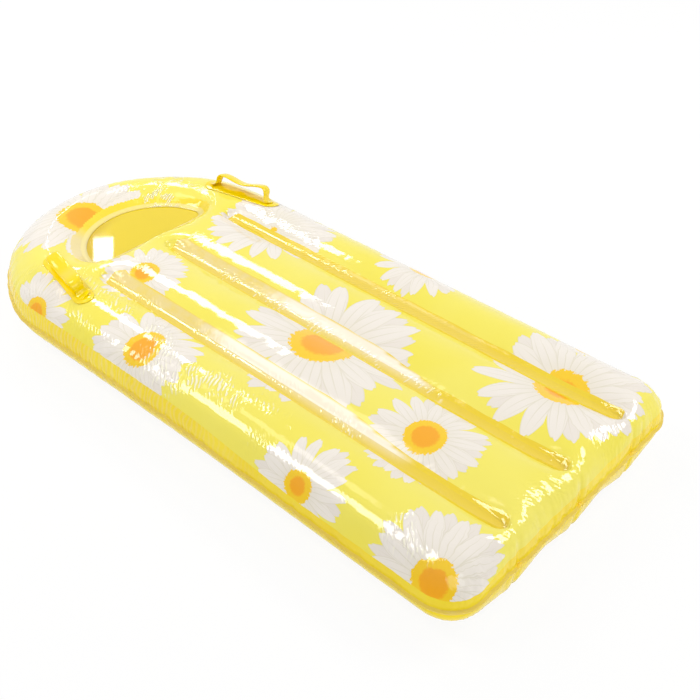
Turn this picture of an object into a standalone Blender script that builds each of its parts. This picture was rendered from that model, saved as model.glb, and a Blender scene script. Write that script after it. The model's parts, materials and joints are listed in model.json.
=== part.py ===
"""Inflatable pool float: a rounded head with a clear window, a square tail and two handles.

The float lies on z = 0 with +Y towards the head and +Z up. The origin is below its middle.
The films are drawn thicker than real ones, and every pair of neighbours keeps a small gap.
"""
import math

import bmesh
import bpy
from mathutils import Matrix, Vector
from mathutils.geometry import delaunay_2d_cdt

# Body
FLOAT_LENGTH = 1.12
FLOAT_WIDTH = 0.50
FLOAT_THICKNESS = 0.117
HEAD_LENGTH = 0.258
TAIL_CORNER_RADIUS = 0.058
SEAM_HEIGHT = 0.0585
SEAM_WIDTH = 0.004
FILM = 0.001
GAP = 0.0003
REST_FLAT_DEPTH = 0.0005

# Grooves, over the inner webs
GROOVE_SPACING = 0.133
GROOVE_WIDTH = 0.014
GROOVE_DEPTH = 0.015
GROOVE_TAIL_GAP = 0.030
GROOVE_HEAD_GAP = 0.044
WEB_MARGIN = 0.001

# Window: a half disc with rounded corners
WINDOW_RADIUS = 0.121
WINDOW_CORNER_RADIUS = 0.022
WINDOW_HEAD_GAP = 0.133
WINDOW_DEPTH = 0.022
WINDOW_WELD = 0.006

# Handles
HANDLE_RIM_DISTANCE = 0.063
HANDLE_HEAD_DISTANCE = 0.273
HANDLE_TURN = math.radians(12)
HANDLE_LEAN = math.radians(20)
BASE_LENGTH = 0.155
BASE_WIDTH = 0.034
BASE_THICKNESS = 0.0018
BASE_CLEARANCE = 0.0005
STRAP_SPAN = 0.108
STRAP_RISE = 0.023
STRAP_SAG = 0.006
STRAP_BEND = 0.010
STRAP_WIDTH = 0.018
STRAP_THICKNESS = 0.004
ROOT_WIDTH = 0.012
ROOT_HEIGHT = 0.006
ROOT_NECK_ANGLE = math.radians(35)
ROOT_CLEARANCE = 0.0004

# Valve, low on the right side
VALVE_TAIL_DISTANCE = 0.30
VALVE_ANGLE = math.radians(30)
FLANGE_RADIUS = 0.018
FLANGE_THICKNESS = 0.001
STEM_RADIUS = 0.006
STEM_WALL = 0.0016
STEM_LENGTH = 0.022
STEM_CLEARANCE = 0.0008
LIP_RADIUS = 0.009
LIP_THICKNESS = 0.0015
PLUG_RADIUS = 0.0085
PLUG_THICKNESS = 0.0018
PLUG_DEPTH = 0.008
PLUG_CLEARANCE = 0.0003
TETHER_LENGTH = 0.011
TETHER_WIDTH = 0.004
TETHER_THICKNESS = 0.0008
FLAP_THICKNESS = 0.0008

# Facets
HEAD_STEPS = 20
SIDE_STEPS = 7
CORNER_STEPS = 4
TAIL_STEPS = 10
GROOVE_END_STEPS = 4
WINDOW_STEPS = 12
WINDOW_CORNER_STEPS = 3
BASE_STEPS = 5
BASE_END_STEPS = 6
STRAP_STEPS = 12
TURN_STEPS = 24
ARC_ANGLES = [math.radians(angle) for angle in (30, 60, 82.5)]
LEAST_SPACING = 0.009

# Worked out from the sizes above
HALF_WIDTH = FLOAT_WIDTH / 2
HEAD_Y = FLOAT_LENGTH / 2
TAIL_Y = -FLOAT_LENGTH / 2
SHOULDER_Y = HEAD_Y - HEAD_LENGTH
HANDLE_X = HALF_WIDTH - HANDLE_RIM_DISTANCE
HANDLE_Y = HEAD_Y - HANDLE_HEAD_DISTANCE
WINDOW_Y = HEAD_Y - WINDOW_HEAD_GAP - WINDOW_RADIUS
GROOVE_TAIL_Y = TAIL_Y + GROOVE_TAIL_GAP
GROOVE_HEAD_Y = WINDOW_Y - GROOVE_HEAD_GAP
GROOVES = {"left": -GROOVE_SPACING, "center": 0.0, "right": GROOVE_SPACING}
PANEL_TOP = FLOAT_THICKNESS - WINDOW_DEPTH - FILM - GAP
TOP_SEAM = SEAM_HEIGHT + GAP / 2 + FILM
BOTTOM_SEAM = SEAM_HEIGHT - GAP / 2 - FILM
WELL_TOP = PANEL_TOP - FILM - GAP - FILM
CORNER_X = math.sqrt((WINDOW_RADIUS - WINDOW_CORNER_RADIUS) ** 2 - WINDOW_CORNER_RADIUS ** 2)
CORNER_Y = WINDOW_Y + WINDOW_CORNER_RADIUS
CORNER_ANGLE = math.atan2(WINDOW_CORNER_RADIUS, CORNER_X)
BOTTOM_RIM = BOTTOM_SEAM + REST_FLAT_DEPTH


def start_scene():
    """Remove every object, and make the collections of the parts and of the cutters."""
    for thing in list(bpy.data.objects):
        bpy.data.objects.remove(thing, do_unlink=True)
    groups = []
    for name in ("pool_float", "cutters"):
        group = bpy.data.collections.new(name)
        bpy.context.scene.collection.children.link(group)
        groups.append(group)
    return groups


PARTS, CUTTERS = start_scene()


def make_material(name, color, roughness, transmission=0.0):
    """A soft plastic film or moulding."""
    material = bpy.data.materials.new(name)
    material.use_nodes = True
    shader = material.node_tree.nodes["Principled BSDF"]
    shader.inputs["Base Color"].default_value = (*color, 1.0)
    shader.inputs["Roughness"].default_value = roughness
    shader.inputs["Metallic"].default_value = 0.0
    shader.inputs["Transmission Weight"].default_value = transmission
    material.diffuse_color = (*color, 1.0)
    return material


def add_part(name, bm, material):
    """Make a part of a bmesh."""
    mesh = bpy.data.meshes.new(name)
    bm.to_mesh(mesh)
    bm.free()
    mesh.materials.append(material)
    mesh.shade_smooth()
    mesh.set_sharp_from_angle(angle=math.radians(40))
    part = bpy.data.objects.new(name, mesh)
    PARTS.objects.link(part)
    return part


def add_cutter(name, bm):
    """Make a hidden cutter of a bmesh."""
    mesh = bpy.data.meshes.new(name)
    bmesh.ops.recalc_face_normals(bm, faces=bm.faces)
    bm.to_mesh(mesh)
    bm.free()
    cutter = bpy.data.objects.new(name, mesh)
    CUTTERS.objects.link(cutter)
    cutter.hide_render = True
    cutter.display_type = "WIRE"
    return cutter


def add_wall(part, thickness, offset=-1.0):
    """Give an open surface its thickness, inwards unless the offset says otherwise."""
    wall = part.modifiers.new("wall", "SOLIDIFY")
    wall.thickness = thickness
    wall.offset = offset
    wall.use_even_offset = True


def add_boolean(part, cutter, operation):
    """Cut or join a part with another solid."""
    cut = part.modifiers.new(operation.lower(), "BOOLEAN")
    cut.operation = operation
    cut.solver = "EXACT"
    cut.object = cutter


def arc(center, radius, start, end, steps):
    """Points and outward normals along an arc of the plan, both ends included."""
    result = []
    for i in range(steps + 1):
        angle = start + (end - start) * i / steps
        normal = (math.cos(angle), math.sin(angle))
        result.append(((center[0] + radius * normal[0], center[1] + radius * normal[1]), normal))
    return result


def side_rows():
    """The rows of corners along the straight sides, from the head to the tail."""
    corner_y = TAIL_Y + TAIL_CORNER_RADIUS
    return [SHOULDER_Y + (corner_y - SHOULDER_Y) * i / SIDE_STEPS for i in range(1, SIDE_STEPS)]


def rim_outline():
    """The outer edge of the seam, anticlockwise from the right shoulder, with its normals."""
    outline = []
    for i in range(HEAD_STEPS + 1):
        angle = math.pi * i / HEAD_STEPS
        normal = Vector((math.cos(angle) / HALF_WIDTH, math.sin(angle) / HEAD_LENGTH)).normalized()
        point = (HALF_WIDTH * math.cos(angle), SHOULDER_Y + HEAD_LENGTH * math.sin(angle))
        outline.append((point, tuple(normal)))
    corner_x = HALF_WIDTH - TAIL_CORNER_RADIUS
    corner_y = TAIL_Y + TAIL_CORNER_RADIUS
    outline += [((-HALF_WIDTH, y), (-1.0, 0.0)) for y in side_rows()]
    outline += arc((-corner_x, corner_y), TAIL_CORNER_RADIUS, math.pi, 1.5 * math.pi, CORNER_STEPS)
    tail = [-corner_x + 2 * corner_x * i / TAIL_STEPS for i in range(1, TAIL_STEPS)]
    outline += [((x, TAIL_Y), (0.0, -1.0)) for x in tail]
    outline += arc((corner_x, corner_y), TAIL_CORNER_RADIUS, -0.5 * math.pi, 0.0, CORNER_STEPS)
    outline += [((HALF_WIDTH, y), (1.0, 0.0)) for y in reversed(side_rows())]
    return outline


def groove_outline(groove_x):
    """The edge of a groove's flat bottom, anticlockwise, with its normals."""
    radius = GROOVE_WIDTH / 2
    low = GROOVE_TAIL_Y + radius
    high = GROOVE_HEAD_Y - radius
    rows = [y for y in side_rows() if low + GROOVE_WIDTH < y < high - GROOVE_WIDTH]
    outline = arc((groove_x, high), radius, 0.0, math.pi, GROOVE_END_STEPS)
    outline += [((groove_x - radius, y), (-1.0, 0.0)) for y in rows]
    outline += arc((groove_x, low), radius, math.pi, 2 * math.pi, GROOVE_END_STEPS)
    outline += [((groove_x + radius, y), (1.0, 0.0)) for y in reversed(rows)]
    return outline


def window_outline(offset=0.0):
    """The edge of the window's well, anticlockwise, with its normals."""
    radius = WINDOW_CORNER_RADIUS + offset
    outline = arc((CORNER_X, CORNER_Y), radius, -0.5 * math.pi, CORNER_ANGLE, WINDOW_CORNER_STEPS)
    end = math.pi - CORNER_ANGLE
    outline += arc((0.0, WINDOW_Y), WINDOW_RADIUS + offset, CORNER_ANGLE, end, WINDOW_STEPS)[1:-1]
    outline += arc((-CORNER_X, CORNER_Y), radius, end, 1.5 * math.pi, WINDOW_CORNER_STEPS)
    count = WINDOW_CORNER_STEPS
    flat = [-CORNER_X + 2 * CORNER_X * i / count for i in range(1, count)]
    outline += [((x, WINDOW_Y - offset), (0.0, -1.0)) for x in flat]
    return outline


def rim_distance(x, y):
    """How far a point of the plan lies inside the outer edge of the seam."""
    if y >= SHOULDER_Y:
        across = x / HALF_WIDTH
        along = (y - SHOULDER_Y) / HEAD_LENGTH
        share = max(math.hypot(across, along), 1e-6)
        slope = math.hypot(across / HALF_WIDTH, along / HEAD_LENGTH) / share
        return (1 - share) / slope if slope > 0 else HALF_WIDTH
    side = HALF_WIDTH - abs(x)
    tail = y - TAIL_Y
    if max(side, tail) < TAIL_CORNER_RADIUS:
        return TAIL_CORNER_RADIUS - math.hypot(TAIL_CORNER_RADIUS - side, TAIL_CORNER_RADIUS - tail)
    return min(side, tail)


def groove_distance(groove_x, x, y):
    """How far a point of the plan lies from a groove's flat bottom."""
    radius = GROOVE_WIDTH / 2
    beyond = max(GROOVE_TAIL_Y + radius - y, y - GROOVE_HEAD_Y + radius, 0.0)
    return math.hypot(x - groove_x, beyond) - radius


def window_distance(x, y):
    """How far a point of the plan lies outside the edge of the window's well."""
    out = math.hypot(x, y - WINDOW_Y)
    if out > 0 and (y - WINDOW_Y) / out >= math.sin(CORNER_ANGLE) and y >= CORNER_Y:
        return max(out - WINDOW_RADIUS, WINDOW_Y - y)
    if abs(x) <= CORNER_X:
        return WINDOW_Y - y
    return math.hypot(abs(x) - CORNER_X, y - CORNER_Y) - WINDOW_CORNER_RADIUS


def weld_distances(x, y):
    """How far a point of the plan lies from each weld."""
    distances = {name: groove_distance(groove_x, x, y) for name, groove_x in GROOVES.items()}
    distances["rim"] = rim_distance(x, y) - SEAM_WIDTH
    distances["window"] = window_distance(x, y)
    return {name: max(distance, 0.0) for name, distance in distances.items()}


def depth_below_crest(x, y, depths, round_welds):
    """How deep the film lies between its two nearest welds.

    A round weld has a wall like a quarter ellipse, and any other a valley like a parabola.
    """
    distances = weld_distances(x, y)
    near, second = sorted(distances, key=distances.get)[:2]
    share = 1 - 2 * distances[near] / (distances[near] + distances[second])
    depth = depths.get(near, GROOVE_DEPTH)
    if near in round_welds:
        return depth * (1 - math.sqrt(1 - share ** 2))
    return depth * share ** 2


def top_height(x, y):
    """The outer face of the top sheet."""
    depths = {"rim": FLOAT_THICKNESS - TOP_SEAM, "window": WINDOW_DEPTH}
    return FLOAT_THICKNESS - depth_below_crest(x, y, depths, ("rim",))


def bottom_height(x, y):
    """The outer face of the bottom sheet, flat where it rests."""
    depths = {"rim": BOTTOM_RIM, "window": WELL_TOP + REST_FLAT_DEPTH}
    return max(depth_below_crest(x, y, depths, ("rim", "window")) - REST_FLAT_DEPTH, 0.0)


def crest_distance(point, normal, own):
    """How far from a weld's edge another weld is as near."""
    step = 0.001
    reach = step
    while reach < HALF_WIDTH:
        distances = weld_distances(point[0] + normal[0] * reach, point[1] + normal[1] * reach)
        if min(distance for name, distance in distances.items() if name != own) <= reach:
            return reach
        reach += step
    return reach


def moved(outline, distance):
    """The points of an outline, each moved along its normal."""
    return [(p[0] + n[0] * distance, p[1] + n[1] * distance) for p, n in outline]


def crest_loops(outline, own):
    """Loops between a weld's edge and the crests around it, the last one beside the crests."""
    reaches = [crest_distance(point, normal, own) for point, normal in outline]
    loops = []
    for angle in ARC_ANGLES:
        share = 1 - math.cos(angle)
        loop = [moved([pair], reach * share)[0] for pair, reach in zip(outline, reaches)]
        loops.append(loop)
    return loops


def patch_plan(side):
    """The edge of a handle's base patch in the plan, and the rows of corners inside it."""
    radius = BASE_WIDTH / 2
    half = BASE_LENGTH / 2 - radius
    rows = [-half + 2 * half * i / BASE_STEPS for i in range(1, BASE_STEPS)]
    edge = [point for point, _ in arc((0.0, half), radius, 0.0, math.pi, BASE_END_STEPS)]
    edge += [(-radius, y) for y in reversed(rows)]
    edge += [point for point, _ in arc((0.0, -half), radius, math.pi, 2 * math.pi, BASE_END_STEPS)]
    edge += [(radius, y) for y in rows]
    inside = [(x, y) for x in (-radius / 2, 0.0, radius / 2) for y in rows]
    across = Vector((side * math.cos(HANDLE_TURN), math.sin(HANDLE_TURN)))
    along = Vector((-side * math.sin(HANDLE_TURN), math.cos(HANDLE_TURN)))
    middle = Vector((side * HANDLE_X, HANDLE_Y))
    return [[tuple(middle + across * x + along * y) for x, y in points] for points in (edge, inside)]


def in_patch(side, x, y):
    """Whether a point of the plan lies under a handle's base patch."""
    away = Vector((x - side * HANDLE_X, y - HANDLE_Y))
    across = away.dot((side * math.cos(HANDLE_TURN), math.sin(HANDLE_TURN)))
    along = away.dot((-side * math.sin(HANDLE_TURN), math.cos(HANDLE_TURN)))
    beyond = max(abs(along) - BASE_LENGTH / 2 + BASE_WIDTH / 2, 0.0)
    return math.hypot(across, beyond) < BASE_WIDTH / 2


def sheet_plan(sides=()):
    """The corners and triangles of a sheet seen from above.

    On the given sides it has the edge of a handle's base patch, which then lies close on it.
    """
    corners = []
    edges = []

    def add_loop(loop):
        first = len(corners)
        corners.extend(loop)
        edges.extend((first + i, first + (i + 1) % len(loop)) for i in range(len(loop)))

    rim = rim_outline()
    inner_rim = [(moved([pair], -SEAM_WIDTH)[0], (-pair[1][0], -pair[1][1])) for pair in rim]
    add_loop([point for point, _ in rim])
    add_loop([point for point, _ in inner_rim])
    for loop in crest_loops(inner_rim, "rim"):
        add_loop(loop)
    window = window_outline()
    add_loop(moved(window, -WINDOW_WELD))
    add_loop([point for point, _ in window])
    for loop in crest_loops(window, "window")[:-1]:
        add_loop(loop)
    loose = []
    for side in sides:
        edge, inside = patch_plan(side)
        add_loop(edge)
        loose.extend(inside)
    loose.extend(crest_loops(window, "window")[-1])
    for name, groove_x in GROOVES.items():
        outline = groove_outline(groove_x)
        add_loop([point for point, _ in outline])
        for loop in crest_loops(outline, name)[1:]:
            loose.extend(loop)
    for point in loose:
        if min(math.dist(point, corner) for corner in corners) > LEAST_SPACING:
            corners.append(point)
    vectors = [Vector(corner) for corner in corners]
    points, _, triangles, _, _, _ = delaunay_2d_cdt(vectors, edges, [], 1, 1e-6)
    kept = []
    for triangle in triangles:
        middle = sum((points[i] for i in triangle), Vector((0.0, 0.0))) / 3
        if window_distance(*middle) > -WINDOW_WELD:
            kept.append(triangle)
    return points, kept


def build_sheet(name, plan, height, upward, material):
    """A film over the plan at the given height, with its outer face up or down."""
    points, triangles = plan
    bm = bmesh.new()
    corners = [bm.verts.new((x, y, height(x, y))) for x, y in points]
    for triangle in triangles:
        ring = [corners[i] for i in triangle]
        (ax, ay), (bx, by), (cx, cy) = (points[i] for i in triangle)
        turns_left = (bx - ax) * (cy - ay) > (by - ay) * (cx - ax)
        bm.faces.new(ring if turns_left == upward else ring[::-1])
    bmesh.ops.delete(bm, geom=[v for v in bm.verts if not v.link_faces], context="VERTS")
    sheet = add_part(name, bm, material)
    add_wall(sheet, FILM)
    return sheet


def build_window(material):
    """The flat panel, held between the weld rings of the two sheets."""
    bm = bmesh.new()
    outline = moved(window_outline(), -GAP)
    face = bm.faces.new([bm.verts.new((x, y, PANEL_TOP)) for x, y in outline])
    face.normal_update()
    panel = add_part("window_panel", bm, material)
    add_wall(panel, FILM)
    return panel


def build_web(name, groove_x, material):
    """A strip from the bottom sheet to the top sheet, with a weld flange along each edge."""
    half = GROOVE_WIDTH / 2 - WEB_MARGIN
    top = FLOAT_THICKNESS - GROOVE_DEPTH - FILM - GAP - FILM / 2
    bottom = GROOVE_DEPTH - REST_FLAT_DEPTH + FILM + GAP + FILM / 2
    profile = [(-half, top), (0.0, top), (0.0, bottom), (half, bottom)]
    bm = bmesh.new()
    start = [bm.verts.new((groove_x + x, GROOVE_TAIL_Y + GROOVE_WIDTH / 2, z)) for x, z in profile]
    edges = [bm.edges.new(pair) for pair in zip(start, start[1:])]
    grown = bmesh.ops.extrude_edge_only(bm, edges=edges)["geom"]
    length = GROOVE_HEAD_Y - GROOVE_TAIL_Y - GROOVE_WIDTH
    far = [v for v in grown if isinstance(v, bmesh.types.BMVert)]
    bmesh.ops.translate(bm, vec=(0.0, length, 0.0), verts=far)
    web = add_part(f"web_{name}", bm, material)
    add_wall(web, FILM, 0.0)
    return web


def handle_frame(side):
    """Where a handle stands: across it, along it and up from the top of its base patch."""
    outward = Vector((side * math.cos(HANDLE_TURN), math.sin(HANDLE_TURN), 0.0))
    along = Vector((-side * math.sin(HANDLE_TURN), math.cos(HANDLE_TURN), 0.0))
    up = math.cos(HANDLE_LEAN) * Vector((0, 0, 1)) + math.sin(HANDLE_LEAN) * outward
    across = math.cos(HANDLE_LEAN) * outward - math.sin(HANDLE_LEAN) * Vector((0, 0, 1))
    x = side * HANDLE_X
    height = top_height(x, HANDLE_Y) + BASE_CLEARANCE + BASE_THICKNESS
    origin = Vector((x, HANDLE_Y, height))
    return origin, across, along, up, outward


def place(bm, origin, axes):
    """Move a bmesh from its own axes to the given ones, and keep its faces outwards."""
    matrix = Matrix(axes).transposed().to_4x4()
    matrix.translation = origin
    bmesh.ops.transform(bm, matrix=matrix, verts=bm.verts)
    if matrix.determinant() < 0:
        bmesh.ops.reverse_faces(bm, faces=bm.faces)


def patch_surface(plan, side, lift):
    """A long patch with round ends, with the top sheet's own facets, lifted off it."""
    points, triangles = plan
    bm = bmesh.new()
    corners = {}
    for triangle in triangles:
        middle = sum((points[i] for i in triangle), Vector((0.0, 0.0))) / 3
        if in_patch(side, *middle):
            for i in triangle:
                if i not in corners:
                    x, y = points[i]
                    corners[i] = bm.verts.new((x, y, top_height(x, y) + lift))
            bm.faces.new([corners[i] for i in triangle])
    for face in bm.faces:
        face.normal_update()
        if face.normal.z < 0:
            face.normal_flip()
    return bm


def root_solid(side, end):
    """A root of the handle: a tab that rises from the patch on a neck and ends in a disc."""
    radius = ROOT_WIDTH / 2
    neck = radius * math.cos(ROOT_NECK_ANGLE)
    sunk = -BASE_LENGTH / 10
    disc = arc((0.0, ROOT_HEIGHT), radius, -ROOT_NECK_ANGLE, math.pi + ROOT_NECK_ANGLE, TURN_STEPS // 2)
    outline = [(neck, sunk)] + [point for point, _ in disc] + [(-neck, sunk)]
    bm = bmesh.new()
    start = end * (STRAP_SPAN / 2) - STRAP_THICKNESS * (end + 1) / 2
    face = bm.faces.new([bm.verts.new((across, start, up)) for across, up in outline])
    grown = bmesh.ops.extrude_face_region(bm, geom=[face])["geom"]
    far = [v for v in grown if isinstance(v, bmesh.types.BMVert)]
    bmesh.ops.translate(bm, vec=(0.0, STRAP_THICKNESS, 0.0), verts=far)
    origin, across, along, up, _ = handle_frame(side)
    place(bm, origin, (across, along, up))
    return bm


def build_base(name, side, plan, material):
    """A base patch with its two roots, which start halfway through it."""
    patch = add_part(f"handle_base_{name}", patch_surface(plan, side, BASE_CLEARANCE), material)
    add_wall(patch, BASE_THICKNESS, 1.0)
    below = patch_surface(plan, side, BASE_CLEARANCE + BASE_THICKNESS / 2)
    grown = bmesh.ops.extrude_face_region(below, geom=list(below.faces))["geom"]
    far = [v for v in grown if isinstance(v, bmesh.types.BMVert)]
    bmesh.ops.translate(below, vec=(0.0, 0.0, -BASE_LENGTH / 4), verts=far)
    under = add_cutter(f"{name}_under_roots", below)
    for end, word in ((-1, "tail"), (1, "head")):
        root = add_cutter(f"{name}_{word}_root", root_solid(side, end))
        add_boolean(root, under, "DIFFERENCE")
        add_boolean(patch, root, "UNION")
    return patch


def strap_path():
    """The middle line of a strap along and above its patch, from root to root, with its widths."""
    foot = STRAP_SPAN / 2 - STRAP_THICKNESS / 2
    top = STRAP_RISE - STRAP_THICKNESS / 2
    reach = foot - STRAP_BEND
    path = [(-foot, ROOT_HEIGHT, ROOT_WIDTH)]
    for point, _ in arc((-reach, top - STRAP_BEND), STRAP_BEND, math.pi, math.pi / 2, 3):
        path.append((*point, ROOT_WIDTH + (STRAP_WIDTH - ROOT_WIDTH) * len(path) / 4))
    for i in range(1, STRAP_STEPS):
        along = -reach + 2 * reach * i / STRAP_STEPS
        sag = STRAP_SAG * (1 + math.cos(math.pi * along / reach)) / 2
        path.append((along, top - sag, STRAP_WIDTH))
    path += [(-along, up, width) for along, up, width in reversed(path[:5])]
    return path


def build_strap(name, side, material):
    """The bowed grip, hollowed at both feet to turn on the roots."""
    bm = bmesh.new()
    rows = []
    for along, up, width in strap_path():
        rows.append([bm.verts.new((share * width / 2, along, up)) for share in (-1, 1)])
    for row, other in zip(rows, rows[1:]):
        bm.faces.new([row[0], row[1], other[1], other[0]])
    origin, across, along, up, _ = handle_frame(side)
    hinge = origin + up * ROOT_HEIGHT
    place(bm, origin - hinge, (across, along, up))
    strap = add_part(f"handle_strap_{name}", bm, material)
    strap.location = hinge
    add_wall(strap, STRAP_THICKNESS, 0.0)
    barrel = bmesh.new()
    bmesh.ops.create_cone(barrel, cap_ends=True, segments=TURN_STEPS, radius1=ROOT_WIDTH / 2 + ROOT_CLEARANCE,
                          radius2=ROOT_WIDTH / 2 + ROOT_CLEARANCE, depth=2 * STRAP_SPAN)
    place(barrel, hinge, (across, up, along))
    add_boolean(strap, add_cutter(f"{name}_root_clearance", barrel), "DIFFERENCE")
    return strap


def side_point(angle, y):
    """A point on the lower right side of the bottom sheet, and its outward normal."""
    weld = HALF_WIDTH - SEAM_WIDTH
    reach = (weld - GROOVE_SPACING - GROOVE_WIDTH / 2) / 2
    x = weld - reach * (1 - math.cos(angle))
    z = BOTTOM_RIM * (1 - math.sin(angle)) - REST_FLAT_DEPTH
    normal = Vector((BOTTOM_RIM * math.cos(angle), 0.0, -reach * math.sin(angle))).normalized()
    return Vector((x, y, z)), normal


def valve_frame():
    """Where the valve stands: along the float, up the side, and outwards."""
    point, normal = side_point(VALVE_ANGLE, TAIL_Y + VALVE_TAIL_DISTANCE)
    along = Vector((0.0, 1.0, 0.0))
    return point, along, normal.cross(along), normal


FLANGE_TOP = GAP + FLANGE_THICKNESS
LIP_TOP = FLANGE_TOP + GAP + LIP_THICKNESS
STEM_END = LIP_TOP - STEM_LENGTH
BORE_RADIUS = STEM_RADIUS - STEM_WALL


def turned_part(name, profile, closed, material):
    """A part turned about the valve's axis. Its profile runs down its outer side."""
    bm = bmesh.new()
    corners = [bm.verts.new((radius, 0.0, height)) for radius, height in profile]
    pairs = list(zip(corners, corners[1:])) + ([(corners[-1], corners[0])] if closed else [])
    for pair in pairs:
        bm.edges.new(pair)
    part = add_part(name, bm, material)
    turn = part.modifiers.new("turn", "SCREW")
    turn.angle = math.tau
    turn.steps = TURN_STEPS
    turn.render_steps = TURN_STEPS
    turn.use_merge_vertices = True
    turn.merge_threshold = 0.00001
    origin, along, _, up = valve_frame()
    matrix = Matrix((along, up.cross(along), up)).transposed().to_4x4()
    matrix.translation = origin
    part.matrix_world = matrix
    return part


def build_flange(material):
    """A round patch with a hole, bent round the side of the float."""
    hole = STEM_RADIUS + STEM_CLEARANCE
    bm = bmesh.new()
    radii = [hole, (hole + FLANGE_RADIUS) / 2, FLANGE_RADIUS]
    line = [bm.verts.new((radius, 0.0, 0.0)) for radius in radii]
    edges = [bm.edges.new(pair) for pair in zip(line, line[1:])]
    bmesh.ops.spin(bm, geom=line + edges, cent=(0, 0, 0), axis=(0, 0, 1), angle=math.tau,
                   steps=TURN_STEPS, use_merge=True)
    bmesh.ops.remove_doubles(bm, verts=bm.verts, dist=0.00001)
    point, _ = side_point(VALVE_ANGLE, 0.0)
    ahead, _ = side_point(VALVE_ANGLE + 0.01, 0.0)
    turn_rate = 0.01 / (ahead - point).length
    for corner in bm.verts:
        angle = VALVE_ANGLE + corner.co.y * turn_rate
        spot, normal = side_point(angle, TAIL_Y + VALVE_TAIL_DISTANCE + corner.co.x)
        corner.co = spot + normal * FLANGE_TOP
    bmesh.ops.recalc_face_normals(bm, faces=bm.faces)
    bm.normal_update()
    if sum((face.normal.x for face in bm.faces)) < 0:
        bmesh.ops.reverse_faces(bm, faces=bm.faces)
    flange = add_part("valve_flange", bm, material)
    add_wall(flange, FLANGE_THICKNESS)
    return flange


def build_stem(material):
    """The tube with its lip, which slides in the flange."""
    low = LIP_TOP - LIP_THICKNESS
    profile = [(BORE_RADIUS, LIP_TOP), (LIP_RADIUS, LIP_TOP), (LIP_RADIUS, low), (STEM_RADIUS, low),
               (STEM_RADIUS, STEM_END), (BORE_RADIUS, STEM_END)]
    return turned_part("valve_stem", profile, True, material)


def build_plug(material):
    """The stopper: a cap and a pin that fits in the stem's bore."""
    low = LIP_TOP + GAP
    top = low + PLUG_THICKNESS
    pin = BORE_RADIUS - PLUG_CLEARANCE
    end = LIP_TOP - PLUG_DEPTH
    profile = [(0.0, top), (PLUG_RADIUS, top), (PLUG_RADIUS, low), (pin, low), (pin, end), (0.0, end)]
    return turned_part("valve_plug", profile, False, material)


def build_tether(material):
    """The band from the plug's cap to the stem's lip, folded back on itself."""
    high = LIP_TOP + GAP + PLUG_THICKNESS / 2
    low = LIP_TOP - LIP_THICKNESS / 2
    radius = (high - low) / 2
    bend = LIP_RADIUS + TETHER_LENGTH
    path = [(PLUG_RADIUS + GAP + TETHER_THICKNESS / 2, high)]
    path += [point for point, _ in arc((bend, low + radius), radius, math.pi / 2, -math.pi / 2, 6)]
    path += [(LIP_RADIUS + GAP + TETHER_THICKNESS / 2, low)]
    bm = bmesh.new()
    rows = []
    for out, up in path:
        rows.append([bm.verts.new((out, share * TETHER_WIDTH / 2, up)) for share in (-1, 1)])
    for row, other in zip(rows, rows[1:]):
        bm.faces.new([row[0], other[0], other[1], row[1]])
    origin, along, _, up = valve_frame()
    place(bm, origin, (along, up.cross(along), up))
    tether = add_part("valve_tether", bm, material)
    add_wall(tether, TETHER_THICKNESS, 0.0)
    return tether


def build_flap(material):
    """The check flap under the stem's inner end, hinged at its edge towards the tail."""
    top = STEM_END - GAP
    bm = bmesh.new()
    bmesh.ops.create_cone(bm, cap_ends=True, segments=TURN_STEPS, radius1=STEM_RADIUS,
                          radius2=STEM_RADIUS, depth=FLAP_THICKNESS)
    bmesh.ops.translate(bm, vec=(STEM_RADIUS, 0.0, -FLAP_THICKNESS / 2), verts=bm.verts)
    origin, along, _, up = valve_frame()
    place(bm, Vector(), (along, up.cross(along), up))
    flap = add_part("valve_flap", bm, material)
    flap.location = origin + up * top - along * STEM_RADIUS
    return flap


def build_float():
    """Every piece of the float."""
    printed = make_material("printed_film", (0.95, 0.90, 0.30), 0.12)
    golden = make_material("golden_film", (0.95, 0.80, 0.12), 0.12, 0.3)
    clear = make_material("window_film", (0.95, 0.82, 0.15), 0.06, 0.6)
    web_film = make_material("web_film", (0.95, 0.85, 0.35), 0.2, 0.3)
    handle = make_material("handle_vinyl", (0.97, 0.86, 0.02), 0.15, 0.1)
    valve = make_material("valve_vinyl", (0.96, 0.88, 0.25), 0.2, 0.1)
    top_plan = sheet_plan((-1, 1))
    build_sheet("top_sheet", top_plan, top_height, True, printed)
    bottom = build_sheet("bottom_sheet", sheet_plan(), bottom_height, False, golden)
    origin, along, _, up = valve_frame()
    drill = bmesh.new()
    hole = STEM_RADIUS + STEM_CLEARANCE
    bmesh.ops.create_cone(drill, cap_ends=True, segments=TURN_STEPS, radius1=hole, radius2=hole,
                          depth=2 * FLANGE_RADIUS)
    place(drill, origin, (along, up.cross(along), up))
    add_boolean(bottom, add_cutter("valve_hole", drill), "DIFFERENCE")
    build_window(clear)
    for name, groove_x in GROOVES.items():
        build_web(name, groove_x, web_film)
    for name, side in (("left", -1), ("right", 1)):
        build_base(name, side, top_plan, handle)
        build_strap(name, side, handle)
    build_flange(valve)
    build_stem(valve)
    build_plug(valve)
    build_tether(valve)
    build_flap(valve)


build_float()
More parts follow.
